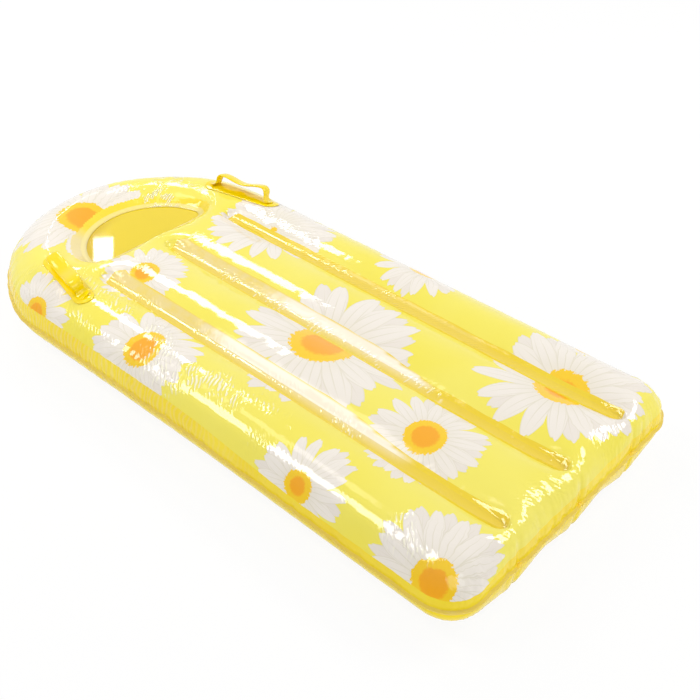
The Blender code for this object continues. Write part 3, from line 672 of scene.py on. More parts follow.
def tidyMesh(thing, angle=40):
    pick(thing)
    bpy.ops.object.mode_set(mode="EDIT")
    bpy.ops.mesh.select_all(action="SELECT")
    bpy.ops.mesh.remove_doubles(threshold=0.00002)
    bpy.ops.mesh.normals_make_consistent(inside=False)
    bpy.ops.object.mode_set(mode="OBJECT")
    bpy.ops.object.shade_smooth_by_angle(angle=math.radians(angle))


def addModifier(thing, kind, **settings):
    pick(thing)
    modifier = thing.modifiers.new(kind.lower(), kind)
    for key, value in settings.items():
        setattr(modifier, key, value)
    bpy.ops.object.modifier_apply(modifier=modifier.name)


def addWall(thing, thickness, offset=-1.0):
    addModifier(thing, "SOLIDIFY", thickness=thickness, offset=offset)


# The valve goes through the bottom film, so the film has a hole there.
valve = {"hole": 0.0068, "stem": 0.006, "bore": 0.0044, "lip": 0.009, "lipWall": 0.0015, "edge": 0.0004,
         "plug": 0.0085, "plugWall": 0.0018, "dish": 0.0007, "depth": 0.008, "gap": 0.0003,
         "tetherOut": 0.020, "tetherWidth": 0.004, "tetherWall": 0.0008}
valveOut = Vector(next(j for j in frame["joints"] if j["name"] == "valve_stem_pull")["axis"]).normalized()
valveAlong = Vector((0.0, 1.0, 0.0))
valveAcross = valveOut.cross(valveAlong)


def topAlong(node, direction):
    corners = [vertex.co.dot(direction) for vertex in frame["nodes"][node].data.vertices]
    return max(corners), min(corners)


stemTop, stemEnd = topAlong("valve_stem", valveOut)
plugMesh = frame["nodes"]["valve_plug"].data
plugMiddle = sum((vertex.co for vertex in plugMesh.vertices), Vector()) / len(plugMesh.vertices)
valveBase = plugMiddle + valveOut * (stemTop - plugMiddle.dot(valveOut))


def cutHole(thing, middle, axis, radius):
    bm = bmesh.new()
    bm.from_mesh(thing.data)
    near = [vertex for vertex in bm.verts
            if (vertex.co - middle).cross(axis).length < radius and (vertex.co - middle).length < 3 * radius]
    bmesh.ops.delete(bm, geom=near, context="VERTS")
    bm.to_mesh(thing.data)
    bm.free()


cutHole(bottomFilm, valveBase, valveOut, valve["hole"])
addWall(topFilm, body["wall"])
addWall(bottomFilm, body["wall"])
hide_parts("top_sheet")
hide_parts("bottom_sheet")
for film, slot in ((topFilm, "printed_film"), (bottomFilm, "golden_film")):
    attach(film, "float")
print("films inflated")

window = {"inset": 0.0003, "wall": 0.0006, "step": 0.005, "margin": 0.7, "spacing": 0.6, "settle": 0.03,
          "ripple": 0.00004, "rippleLength": 0.05}


def buildWindow():
    # The film of the window, held in its weld ring and almost flat.
    step = window["step"]
    plan = PlanPoints(step)
    outline = windowOutline(step)
    plan.addLoop(outline[:, :2] - outline[:, 2:] * window["inset"])
    rows = int(windowRadius / step)
    for i in range(rows + 1):
        for j in range(-rows, rows + 1):
            x, y = j * step, windowY + i * step
            if windowDistance(np.array([x]), np.array([y]))[0] < -window["margin"] * step:
                plan.addLoose([(x, y)], window["spacing"] * step)
    vectors = [Vector(point) for point in plan.points]
    corners, _, faces, _, _, _ = delaunay_2d_cdt(vectors, plan.edges, [], 1, 1e-7)
    x, y = np.array([corner.x for corner in corners]), np.array([corner.y for corner in corners])
    inside = smooth(-windowDistance(x, y), body["windowWeld"], window["settle"])
    z = panelHigh.z + inside * window["ripple"] * cloud(x, y, window["rippleLength"], 71)
    thing = makeMesh("windowFilm", np.column_stack([x, y, z]), [tuple(face) for face in faces])
    tidyMesh(thing)
    if thing.data.polygons[0].normal.z < 0:
        thing.data.flip_normals()
    addWall(thing, window["wall"])
    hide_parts("window_panel")
    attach(thing, "float")
    return thing


windowFilm = buildWindow()
print("window made")

# Handles: a patch welded to the film, and a soft strap with flared feet.
handle = {
    "lean": 20, "length": 0.155, "width": 0.034, "wall": 0.0010, "lift": 0.0006, "rows": 72, "columns": 12,
    "pillow": 0.0007, "pillowEdge": (0.0030, 0.0065), "ripple": 0.00025, "rippleTurns": 900,
    "rippleEdge": (0.004, 0.0),
    "foot": 0.052, "rootHeight": 0.006, "rise": 0.023, "sag": 0.006, "bend": 0.010, "strapWidth": 0.0235,
    "strapWall": 0.0044, "footWidth": 0.0225, "footWall": 0.0014, "footLength": 0.015, "footGap": 0.0010,
    "neckWidth": 0.0165, "neckTop": 0.0180, "bendWidth": 0.0200, "fullWall": 2.7,
    "strapSteps": 96, "sectionSteps": 20, "bow": 0.0018, "squareWide": 0.55, "squareThick": 0.75,
}


def handleAxes(side, word):
    joint = next(j for j in frame["joints"] if j["name"] == word + "_strap_tilt")
    along = Vector((-side * abs(joint["axis"][0]), abs(joint["axis"][1]), 0.0)).normalized()
    outward = Vector((side * along.y, abs(along.x), 0.0))
    lean = math.radians(handle["lean"])
    up = math.cos(lean) * Vector((0, 0, 1)) + math.sin(lean) * outward
    across = math.cos(lean) * outward - math.sin(lean) * Vector((0, 0, 1))
    origin = Vector(joint["pos_m"]) - up * handle["rootHeight"]
    return origin, across, along, up, outward


def patchCorner(origin, outward, along, across, ahead, lift):
    spot = origin + outward * across + along * ahead
    return Vector((spot.x, spot.y, heightAt(spot.x, spot.y) + lift))


def buildPatch(side, word):
    origin, _, along, _, outward = handleAxes(side, word)
    half, reach = handle["width"] / 2, handle["length"] / 2
    corners = []
    rows, columns = handle["rows"], handle["columns"]
    for i in range(rows + 1):
        ahead = -math.cos(math.pi * i / rows) * reach
        beyond = max(abs(ahead) - (reach - half), 0.0)
        wide = math.sqrt(max(half * half - beyond * beyond, 1e-9))
        for j in range(columns + 1):
            part = 2 * j / columns - 1
            edgeAway = min(wide * (1 - abs(part)), reach - abs(ahead))
            ripple = math.sin(ahead * handle["rippleTurns"] + side) * smooth(edgeAway, *handle["rippleEdge"])
            rise = handle["lift"] + handle["pillow"] * smooth(edgeAway, *handle["pillowEdge"])
            rise += handle["ripple"] * ripple * (1 if i % 2 else 0.6)
            corners.append(patchCorner(origin, outward, along, part * wide, ahead, rise))
    faces = gridFaces(rows, columns)
    thing = makeMesh("handlePatch" + word.capitalize(), corners, faces)
    tidyMesh(thing)
    if sum(polygon.normal.z for polygon in thing.data.polygons) < 0:
        thing.data.flip_normals()
    addWall(thing, handle["wall"], 1.0)
    addModifier(thing, "SUBSURF", levels=1, render_levels=1)
    tidyMesh(thing, 60)
    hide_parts("handle_base_" + word)
    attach(thing, "float")
    return thing


def strapPath():
    # Middle line of the strap as (ahead, up, width, thickness), from the tip of a foot to the other tip.
    foot, bend, full = handle["foot"], handle["bend"], handle["fullWall"]
    rise = handle["rise"] - handle["strapWall"] / 2
    tip, footWidth = foot + handle["footLength"], handle["footWidth"]
    points = [
        (tip - 0.0005, 0.0, 0.008, 0.9), (tip - 0.003, 0.0, 0.016, 1.0), (foot + 0.009, 0.0, footWidth, 1.0),
        (foot + 0.0045, 0.0006, footWidth, 1.1), (foot + 0.0010, 0.0035, 0.018, 1.5),
        (foot, 0.0075, handle["neckWidth"], 2.2), (foot, rise - bend, handle["neckTop"], full)]
    for angle in (30, 60):
        back, down = 1 - math.cos(math.radians(angle)), 1 - math.sin(math.radians(angle))
        points.append((foot - bend * back, rise - bend * down, handle["bendWidth"], full))
    reach = foot - bend
    for i in range(5):
        ahead = reach * (1 - i / 4.5)
        sag = handle["sag"] * (1 + math.cos(math.pi * ahead / reach)) / 2
        points.append((ahead, rise - sag, handle["strapWidth"], full))
    mirror = [(-ahead, up, wide, thick) for ahead, up, wide, thick in reversed(points)]
    return points + mirror


def smoothPath(points, steps):
    # Catmull-Rom through the points, for each value that they carry.
    points = np.array([points[0]] + points + [points[-1]])
    rows = []
    for i in range(steps + 1):
        spot = (len(points) - 3) * i / steps
        k = min(int(spot), len(points) - 4)
        t = spot - k
        a, b, c, d = points[k:k + 4]
        rows.append(0.5 * (2 * b + (c - a) * t + (2 * a - 5 * b + 4 * c - d) * t ** 2
                           + (3 * b - a - 3 * c + d) * t ** 3))
    return rows


def buildStrap(side, word):
    origin, across, along, up, outward = handleAxes(side, word)
    rows = smoothPath(strapPath(), handle["strapSteps"])
    count, total = handle["sectionSteps"], len(rows)
    onPatch = handle["lift"] + handle["wall"] + handle["footGap"]
    corners = []
    for i, (ahead, rise, wide, thick) in enumerate(rows):
        before, after = rows[max(i - 1, 0)], rows[min(i + 1, total - 1)]
        tangent = (along * (after[0] - before[0]) + up * (after[1] - before[1])).normalized()
        normal = tangent.cross(across) * -1.0
        low = smooth(rise, 0.008, 0.0)
        flatSpot = origin + along * ahead
        settleUp = (patchCorner(origin, outward, along, 0.0, ahead, onPatch) - flatSpot).dot(up)
        thickness = thick * handle["strapWall"] / handle["fullWall"] if rise > 0.002 else handle["footWall"]
        bow = handle["bow"] * math.sin(math.pi * (i / total)) * side
        middle = flatSpot + up * (rise + low * (settleUp + thickness / 2)) + across * bow
        lifted = (normal * (1 - low) + (normal if low < 0.5 else up) * low).normalized()
        for k in range(count):
            c, d = math.cos(math.tau * k / count), math.sin(math.tau * k / count)
            a = math.copysign(abs(c) ** handle["squareWide"], c) * wide / 2
            b = math.copysign(abs(d) ** handle["squareThick"], d) * thickness / 2 * (1 - 0.25 * abs(c) ** 3)
            corners.append(middle + across * a + lifted * b)
    faces = tubeFaces(total, count) + [tuple(range(count)), tuple(range((total - 1) * count, total * count))]
    thing = makeMesh("handleStrap" + word.capitalize(), corners, faces)
    tidyMesh(thing, 60)
    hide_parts("handle_strap_" + word)
    origin + up * 0.002
    origin + up * 0.011
    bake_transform(thing)
    return thing


handlePieces = []
for side, word in ((-1, "left"), (1, "right")):
    handlePieces += [buildPatch(side, word), buildStrap(side, word)]
print("handles made")


def lathe(name, profile, segments=48):
    # A ring of the first radius, extruded and resized up and down its outline.
    bpy.ops.object.select_all(action="DESELECT")
    radius, height = profile[0]
    bpy.ops.mesh.primitive_circle_add(vertices=segments, radius=radius, location=(0, 0, height))
    thing = bpy.context.active_object
    bpy.ops.object.transform_apply(location=True)
    thing.name = thing.data.name = name
    bpy.ops.object.mode_set(mode="EDIT")
    bpy.ops.mesh.select_all(action="SELECT")
    for (radius, height), (nextRadius, nextHeight) in zip(profile, profile[1:]):
        bpy.ops.mesh.extrude_region_move(TRANSFORM_OT_translate={"value": (0, 0, nextHeight - height)})
        share = nextRadius / radius
        bpy.ops.transform.resize(value=(share, share, 1.0), center_override=(0.0, 0.0, nextHeight))
    bpy.ops.object.mode_set(mode="OBJECT")
    tidyMesh(thing, 35)
    return thing


def standOnValve(thing):
    matrix = Matrix((valveAlong, valveAcross, valveOut)).transposed().to_4x4()
    matrix.translation = valveBase
    thing.data.transform(matrix)
    thing.data.update()


def buildStem():
    # A tube with a rounded lip that has a fine groove round it.
    depth, outer, bore = stemTop - stemEnd, valve["stem"], valve["bore"]
    lip, wall, edge = valve["lip"], valve["lipWall"], valve["edge"]
    return lathe("valveStem", [
        (bore, -depth), (outer, -depth), (outer, -wall), (lip - edge, -wall), (lip, -wall + edge), (lip, -edge),
        (lip - edge, 0.0), (lip - 0.0016, 0.0), (lip - 0.0019, -0.0003), (lip - 0.0022, 0.0),
        (bore + 0.0003, 0.0), (bore, -0.0003), (bore, -depth)])


def buildPlug():
    # A cap with a dished top and a knob, over a pin with a ring round it.
    low, cap, depth, axis = valve["gap"], valve["plug"], valve["depth"], 0.00005
    top = low + valve["plugWall"]
    pin, dish = valve["bore"] - valve["gap"], top - valve["dish"]
    return lathe("valvePlug", [
        (axis, -depth), (pin - 0.0006, -depth), (pin, -depth + 0.0012), (pin, -0.004), (pin + 0.0002, -0.0035),
        (pin, -0.003), (pin, low), (cap - 0.0004, low), (cap, low + 0.0004), (cap, top - 0.0005),
        (cap - 0.0005, top), (cap - 0.0018, top), (cap - 0.0024, dish), (0.003, dish), (0.0026, top),
        (0.0018, top), (0.0012, top - 0.0004), (axis, top - 0.0004)])


# The flange's rings, each by its radius and how far it stands out.
flange = {"rings": [0.0070, 0.0078, 0.0105, 0.0112, 0.0140, 0.0150, 0.0165, 0.0180], "segments": 72,
          "rises": [0.0004, 0.0006, 0.0006, 0.0002, 0.0002, 0.0003, 0.0001, 0.0], "wall": 0.0009,
          "lift": 0.0005, "rayFrom": 0.03, "evenings": 6}


def onSide(spot, lift):
    found = bottomTree.ray_cast(spot + valveOut * flange["rayFrom"], -valveOut)[0]
    return (found or spot) + valveOut * lift


def buildFlange():
    rings, segments = flange["rings"], flange["segments"]
    corners = []
    for radius, rise in zip(rings, flange["rises"]):
        for k in range(segments):
            angle = math.tau * k / segments
            spot = valveBase + valveAlong * radius * math.cos(angle) + valveAcross * radius * math.sin(angle)
            corners.append(onSide(spot, flange["lift"] + rise))
    heights = np.array([(corner - valveBase).dot(valveOut) for corner in corners]).reshape(len(rings), segments)
    for _ in range(flange["evenings"]):
        heights = (np.roll(heights, 1, 1) + 2 * heights + np.roll(heights, -1, 1)) / 4
    for index, height in enumerate(heights.ravel()):
        corners[index] += valveOut * (height - (corners[index] - valveBase).dot(valveOut))
    thing = makeMesh("valveFlange", corners, tubeFaces(len(rings), segments))
    tidyMesh(thing, 50)
    if sum(polygon.normal.dot(valveOut) for polygon in thing.data.polygons) < 0:
        thing.data.flip_normals()
    addWall(thing, flange["wall"], 1.0)
    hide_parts("valve_flange")
    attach(thing, "float")
    return thing


def buildTether():
    # A flat band from the plug's cap out and back to the stem's lip.
    high, low, out = valve["gap"] + valve["plugWall"] / 2, -valve["lipWall"] / 2, valve["tetherOut"]
    path = [(valve["plug"] + valve["gap"], high), (out - 0.006, high + 0.0002), (out - 0.002, high + 0.0003),
            (out, (high + low) / 2), (out - 0.002, low - 0.0003), (out - 0.006, low - 0.0002),
            (valve["lip"] + valve["gap"], low)]
    rows = smoothPath(path, 28)
    corners = []
    for i, (ahead, rise) in enumerate(rows):
        part = i / (len(rows) - 1)
        half = valve["tetherWidth"] / 2 * (1.0 + 0.35 * (abs(2 * part - 1) ** 6))
        corners += [(ahead, share * half, rise) for share in (-1.0, -0.5, 0.0, 0.5, 1.0)]
    faces = [(a, d, c, b) for a, b, c, d in gridFaces(len(rows) - 1, 4)]
    thing = makeMesh("valveTether", corners, faces)
    addWall(thing, valve["tetherWall"], 0.0)
    addModifier(thing, "BEVEL", width=0.0002, segments=2)
    tidyMesh(thing, 50)
    standOnValve(thing)
    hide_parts("valve_tether")
    valveBase + valveOut * low
    valveBase + valveOut * high
    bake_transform(thing)
    return thing


valvePieces = [buildStem(), buildPlug()]
for thing, rider, node in zip(valvePieces, ("stem", "plug"), ("valve_stem", "valve_plug")):
    standOnValve(thing)
    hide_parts(node)
    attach(thing, rider)
valvePieces += [buildFlange(), buildTether()]
print("valve made")


# Shader trees: a value can be added, multiplied and so on, and each step becomes a node.
def feed(tree, node, inputs):
    for key, value in inputs.items():
        if isinstance(value, Value):
            tree.links.new(value.socket, node.inputs[key])
        else:
            node.inputs[key].default_value = value


def addNode(tree, kind, inputs=(), output=0, **settings):
    node = tree.nodes.new("ShaderNode" + kind)
    for key, value in settings.items():
        setattr(node, key, value)
    feed(tree, node, inputs if isinstance(inputs, dict) else dict(enumerate(inputs)))
    return Value(tree, node.outputs[output])


class Value:
    def __init__(self, tree, socket):
        self.tree, self.socket = tree, socket

    def calc(self, operation, *others, **settings):
        return addNode(self.tree, "Math", (self, *others), operation=operation, **settings)

    def __add__(self, other):
        return self.calc("ADD", other)

    def __sub__(self, other):
        return self.calc("SUBTRACT", other)

    def __rsub__(self, other):
        return addNode(self.tree, "Math", (other, self), operation="SUBTRACT")

    def __mul__(self, other):
        return self.calc("MULTIPLY", other)

    def __truediv__(self, other):
        return self.calc("DIVIDE", other)

    def __pow__(self, other):
        return self.calc("POWER", other)

    def __abs__(self):
        return self.calc("ABSOLUTE")

    def most(self, other):
        return self.calc("MAXIMUM", other)


def parts(value, kind="SeparateXYZ"):
    node = value.tree.nodes.new("ShaderNode" + kind)
    feed(value.tree, node, {0: value})
    return [Value(value.tree, socket) for socket in node.outputs]


def blendColor(share, a, b):
    first, second = (color if isinstance(color, Value) else (*color, 1.0) for color in (a, b))
    return addNode(share.tree, "Mix", {"Factor": share, 6: first, 7: second}, 2, data_type="RGBA")


def ramp(value, low, high, a=0.0, b=1.0):
    inputs = {"Value": value, "From Min": low, "From Max": high, "To Min": a, "To Max": b}
    return addNode(value.tree, "MapRange", inputs, "Result", interpolation_type="SMOOTHSTEP")


def noise(vector, scale, detail=2.0):
    return addNode(vector.tree, "TexNoise", {"Vector": vector, "Scale": scale, "Detail": detail}, "Fac")


def readAttribute(tree, name):
    return addNode(tree, "Attribute", output="Fac", attribute_name=name)


def newMaterial(name):
    material = bpy.data.materials.new(name)
    material.use_nodes = True
    tree = material.node_tree
    return material, tree, tree.nodes["Principled BSDF"]


def addBump(shader, height, strength, distance):
    inputs = {"Height": height, "Strength": strength, "Distance": distance}
    feed(height.tree, shader, {"Normal": addNode(height.tree, "Bump", inputs, "Normal")})


# Some colours here are painted light: the cream and tan reflection over the groove bands, and the whitish
# highlights on the well's weld ring, on ribs by the seam and on crinkles.
colors = {
    "lemon": (0.885, 0.795, 0.125), "deepLemon": (0.88, 0.775, 0.080),
    "golden": (0.94, 0.755, 0.040), "deepGolden": (0.91, 0.700, 0.022), "weld": (0.90, 0.78, 0.32),
    "weldLine": (0.78, 0.58, 0.050), "ribHighlight": (0.93, 0.76, 0.36), "seam": (0.92, 0.68, 0.120),
    "tan": (0.80, 0.67, 0.34), "cream": (0.95, 0.89, 0.755), "creaseHighlight": (0.95, 0.92, 0.74),
    "bandGold": (0.80, 0.585, 0.012), "beige": (0.83, 0.71, 0.38),
    "petal": (0.85, 0.80, 0.735), "backPetal": (0.81, 0.755, 0.69), "vein": (0.62, 0.58, 0.41),
    "shadow": (0.78, 0.73, 0.60), "ring": (0.92, 0.60, 0.008), "disc": (0.92, 0.40, 0.002),
}

# The printed daisies, at their places on the flat film: middle, radius, turn in degrees, size of the heart.
daisies = [
    ((-0.050, 0.440), 0.140, 10, 1.0), ((-0.254, 0.290), 0.082, 35, 1.0), ((-0.091, 0.215), 0.078, 5, 1.0),
    ((-0.210, 0.062), 0.096, 60, 1.0), ((-0.028, -0.124), 0.156, 20, 1.0), ((-0.083, -0.364), 0.093, 80, 1.0),
    ((0.128, -0.437), 0.134, 40, 0.9), ((0.150, 0.166), 0.122, 15, 0.16), ((0.240, -0.108), 0.098, 55, 1.0),
    ((-0.246, -0.288), 0.080, 25, 0.88), ((-0.248, -0.514), 0.104, 70, 1.0), ((0.236, -0.412), 0.050, 0, 1.0),
]
# A petal's measures are shares of the daisy's radius, and each pair or four is a ramp.
petals = {"count": 16, "width": 0.126, "narrower": 0.022, "shorter": 0.14, "shift": 0.24, "peak": 1.30,
          "blunt": 0.56, "notch": 0.035, "missing": 0.30, "veins": 8.6, "size": (1.0, 0.97),
          "nick": (0.030, 0.0), "tip": (0.8, 0.95), "edge": (-0.001, 0.004), "veinLine": (0.86, 1.0),
          "veinSide": (0.92, 0.70), "veinEnd": (0.98, 0.55, 0.0, 0.42), "outline": (0.016, 0.002, 0.0, 0.50),
          "between": (0.43, 0.50, 0.0, 0.40), "betweenEnd": (0.75, 0.5), "shade": (0.62, 0.28, 0.0, 0.45)}
daisyHeart = {"ring": 0.315, "ringJag": 0.10, "disc": 0.195, "discJag": 0.06, "jagScale": 26.0}
# Where the film is bare of print: how far from the seam, the bands and the window.
bareBand = {"seam": 0.022, "nearTail": -0.008, "nearHead": 0.005, "nearAlong": (-0.32, -0.02),
            "nearAcross": (-0.15, -0.22), "window": 0.0125, "edge": 0.0007,
            "windowHead": (-0.03, 0.07, 0.0, 0.0035), "windowLeft": (-0.01, -0.06, 0.0, 0.0065)}
# Tones of the bare film, as ramps of the distances that its corners carry; some paint a reflection over the
# bands and a highlight on the well's weld ring.
tones = {"patches": (0.35, 0.65), "goldPatches": (0.3, 0.7), "mottled": (0.30, 0.62, 0.55, 1.0),
         "bandGold": (0.002, 0.0, 0.0, 0.65), "tanFrom": (-0.02, 0.07), "sheenStrength": (-0.02, 0.07, 0.96, 0.80),
         "even": (0.06, -0.02), "nearWindow": (0.026, 0.018), "windowSide": (0.0, -0.055, 0.0, 0.9),
         "windowWeld": (0.0042, 0.0030, 0.0, 0.70), "seam": (0.0016, -0.0004, 0.0, 0.8),
         "weldLine": (0.0012, 0.0004, 0.0, 0.7), "lineShift": 0.0006, "gloss": (0.018, 0.058, 0.20, 0.5)}
# Ribs painted whitish as highlights on the golden margin by the seam, towards the head.
ribHighlights = {"spacing": 0.0088, "wander": 26.0, "line": (-0.2, 0.9, 0.0, 0.30), "along": (-0.30, 0.05),
        "away": (0.10, 0.03)}
# Crinkle strokes: their shape and bump, and how strongly they are painted whitish as highlights.
crinkle = {"spacing": 0.0078, "lean": 0.95, "warp": 2.4, "height": 0.0010, "strength": 0.9, "sharp": 1.6,
           "broken": (0.38, 0.60), "paintedSheen": (0.35, 0.85, 0.0, 0.80), "grain": 0.14}
grains = {"ground": 4.0, "gold": 9.0, "mottled": 45.0, "ribHighlights": 20.0, "warp": 30.0, "broken": 75.0, "fine": 60.0,
          "vinyl": 8.0, "bumps": 55.0}
shine = {"roughness": 0.07, "ior": 1.53, "bumpHeight": 0.0006}
print("materials begin")


def petalLayer(angle, away, seed, ground, layer):
    # One ring of petals, each in its own slice of the circle, painted over the ground.
    count, size = petals["count"], petals["size"][layer]
    cell = angle * (count / math.tau) + ((0.5, 0.0)[layer] + 100.0)
    index = cell.calc("FLOOR").calc("FLOORED_MODULO", count)
    key = addNode(angle.tree, "CombineXYZ", (index + (0.5 + 20 * layer), seed))
    chance = addNode(angle.tree, "TexWhiteNoise", {"Vector": key}, "Color", noise_dimensions="2D")
    first, second, third = parts(chance, "SeparateColor")
    inCell = cell.calc("FRACT") - 0.5
    turn = (inCell - (first * petals["shift"] - petals["shift"] / 2)) * (math.tau / count)
    across, forward = turn.calc("SINE") * away, turn.calc("COSINE") * away
    share = forward / (second * (-petals["shorter"] * size) + size)
    notch = ramp(abs(third * 0.05 + (across - 0.025)), *petals["nick"], 0.0, petals["notch"])
    nicked = share + notch * ramp(share, *petals["tip"])
    swell = nicked.calc("MINIMUM", 1.0) ** petals["peak"] * math.pi
    half = swell.calc("SINE") ** petals["blunt"] * (third * -petals["narrower"] + petals["width"])
    edge = half - abs(across)
    mask = ramp(edge, *petals["edge"])
    if layer == 0:
        mask = mask * first.calc("GREATER_THAN", petals["missing"])
    side = across / half.most(0.01)
    wavy = share * (first - 0.5) + side
    veins = ramp((wavy * petals["veins"]).calc("COSINE"), *petals["veinLine"])
    veins = veins * ramp(abs(side), *petals["veinSide"])
    between = ramp(abs(inCell), *petals["between"]) * ramp(share, *petals["betweenEnd"])
    dark = (veins * ramp(share, *petals["veinEnd"])).most(ramp(edge, *petals["outline"])).most(between)
    base = (colors["backPetal"], colors["petal"])[layer]
    toned = blendColor(ramp(share, *petals["shade"]), base, colors["shadow"])
    return blendColor(mask, ground, blendColor(dark, toned, colors["vein"]))


def daisyGroup():
    tree = bpy.data.node_groups.new("daisy", "ShaderNodeTree")
    for name, kind in (("Place", "Vector"), ("Seed", "Float"), ("Heart", "Float"), ("Ground", "Color")):
        tree.interface.new_socket(name, in_out="INPUT", socket_type="NodeSocket" + kind)
    tree.interface.new_socket("Color", in_out="OUTPUT", socket_type="NodeSocketColor")
    source, result = tree.nodes.new("NodeGroupInput"), tree.nodes.new("NodeGroupOutput")
    place, seed, heart, color = (
        Value(tree, source.outputs[name]) for name in ("Place", "Seed", "Heart", "Ground"))
    x, y, _ = parts(place)
    away = (x * x + y * y).calc("SQRT")
    angle = y.calc("ARCTAN2", x)
    for layer in (0, 1):
        color = petalLayer(angle, away, seed, color, layer)
    jag = noise(place, daisyHeart["jagScale"], 1.0) - 0.5
    ring, disc, smaller = daisyHeart["ring"], daisyHeart["disc"], 1.0 - heart
    ringAway = jag * daisyHeart["ringJag"] + away + smaller * ring
    color = blendColor(ramp(ringAway, ring + 0.008, ring - 0.006), color, colors["ring"])
    discAway = jag * daisyHeart["discJag"] + away + smaller * (2 * disc)
    color = blendColor(ramp(discAway, disc + 0.03, disc - 0.02), color, colors["disc"])
    tree.links.new(color.socket, result.inputs["Color"])
    return tree


def nearestDaisy(flat):
    # The point's place in the daisy that is nearest by its size, with that daisy's number and heart as height.
    best = center = None
    for number, (at, radius, turn, heart) in enumerate(daisies):
        inputs = {"Vector": flat, "Location": (*at, 0.0), "Rotation": (0.0, 0.0, math.radians(turn)),
                  "Scale": (radius, radius, 1.0)}
        place = addNode(flat.tree, "Mapping", inputs, vector_type="TEXTURE")
        size = addNode(flat.tree, "VectorMath", (place,), "Value", operation="LENGTH")
        marked = addNode(flat.tree, "VectorMath", (place, (0.0, 0.0, 3 * number + heart)), operation="ADD")
        if best is None:
            best, center = size, marked
            continue
        closer = size.calc("LESS_THAN", best)
        center = addNode(flat.tree, "Mix", {"Factor": closer, 4: center, 5: marked}, 1, data_type="VECTOR")
        best = size.calc("MINIMUM", best)
    return center


def printedDaisies(flat):
    placeX, placeY, mark = parts(nearestDaisy(flat))
    patches = ramp(noise(flat, grains["ground"]), *tones["patches"])
    inputs = {"Place": addNode(flat.tree, "CombineXYZ", (placeX, placeY)), "Seed": (mark / 3.0).calc("FLOOR"),
              "Heart": mark.calc("FLOORED_MODULO", 3.0),
              "Ground": blendColor(patches, colors["lemon"], colors["deepLemon"])}
    return addNode(flat.tree, "Group", inputs, "Color", node_tree=daisyGroup())


def bareShare(x, y, aside, read):
    # Bare of print along the seam, over the bands and round the window.
    edge = bareBand["edge"]
    wider = ramp(aside, *bareBand["windowHead"]) + ramp(aside, *bareBand["windowLeft"]) + bareBand["window"]
    nearMargin = ramp(y, *bareBand["nearAlong"], bareBand["nearTail"], bareBand["nearHead"])
    seamAway = read["seamAway"] - nearMargin * ramp(x, *bareBand["nearAcross"])
    margin = ramp(seamAway, bareBand["seam"] + edge, bareBand["seam"])
    return margin.most(ramp(read["bandAway"], edge, 0.0)).most(ramp(read["windowAway"] - wider, edge, 0.0))


def bareGold(flat, y, aside, read):
    # The bare film: golden, with a painted reflection over the bands, beige by the well, a painted highlight on
    # the well's weld ring, painted highlight ribs by the seam and darker weld lines.
    seam, window = read["seamAway"], read["windowAway"]
    patches = ramp(noise(flat, grains["gold"]), *tones["goldPatches"])
    gold = blendColor(patches, colors["golden"], colors["deepGolden"])
    gold = blendColor(ramp(read["bandAway"], *tones["bandGold"]), gold, colors["bandGold"])
    mottled = ramp(noise(flat, grains["mottled"], 3.0), *tones["mottled"]).most(ramp(y, *tones["even"]))
    # Painted reflection of the lamps over the groove bands: cream towards the tail, tan towards the head,
    # mottled.
    paintedSheen = blendColor(ramp(y, *tones["tanFrom"]), colors["cream"], colors["tan"])
    gold = blendColor(read["bandSheen"] * ramp(y, *tones["sheenStrength"]) * mottled, gold, paintedSheen)
    nearWindow = ramp(window, *tones["nearWindow"]) * ramp(aside, *tones["windowSide"])
    gold = blendColor(nearWindow, gold, colors["beige"])
    # Painted highlight: a whitish band along the well's weld ring.
    gold = blendColor(ramp(window, *tones["windowWeld"]), gold, colors["weld"])
    # Painted highlight: whitish ribs across the golden margin by the seam.
    wander = noise(flat, grains["ribHighlights"]) * ribHighlights["wander"]
    ribHighlight = ramp((read["seamAlong"] * (math.tau / ribHighlights["spacing"]) + wander).calc("SINE"), *ribHighlights["line"])
    gold = blendColor(ribHighlight * ramp(y, *ribHighlights["along"]) * ramp(seam, *ribHighlights["away"]), gold, colors["ribHighlight"])
    gold = blendColor(ramp(seam, *tones["seam"]), gold, colors["seam"])
    weldLine = ramp(abs(read["grooveAway"] + tones["lineShift"]), *tones["weldLine"])
    return blendColor(weldLine, gold, colors["weldLine"])


def crinkleStrokes(flat, read):
    # Fine crinkles run from the rim, in short strokes, wherever the film is gathered; the strokes give the bump
    # and are also painted whitish as highlights.
    slant = (read["strokeAcross"] * crinkle["lean"] + read["strokeAlong"]) * (math.pi / crinkle["spacing"])
    warp = noise(flat, grains["warp"]) * (crinkle["warp"] * math.pi)
    strokes = abs((slant + warp).calc("SINE")) ** crinkle["sharp"]
    return strokes * ramp(noise(flat, grains["broken"], 1.0), *crinkle["broken"]) * read["crinkle"]


def printedFilm():
    material, tree, shader = newMaterial("printedFilm")
    flat = addNode(tree, "UVMap", uv_map="film")
    read = {key: readAttribute(tree, key) for key in (
        "seamAway", "grooveAway", "windowAway", "bandAway", "bandSheen", "seamAlong", "strokeAlong",
        "strokeAcross", "crinkle")}
    x, y, _ = parts(flat)
    aside = x + y * 0.5 - 0.5 * windowY
    color = blendColor(bareShare(x, y, aside, read), printedDaisies(flat), bareGold(flat, y, aside, read))
    strokes = crinkleStrokes(flat, read)
    # Painted highlight: the crinkle strokes are painted whitish.
    feed(tree, shader, {"Base Color": blendColor(ramp(strokes, *crinkle["paintedSheen"]), color, colors["creaseHighlight"]),
                        "Specular IOR Level": ramp(read["seamAway"], *tones["gloss"]),
                        "Roughness": shine["roughness"], "IOR": shine["ior"]})
    height = noise(flat, grains["fine"], 3.0) * crinkle["grain"] + strokes
    addBump(shader, height, crinkle["strength"], crinkle["height"])
    return material


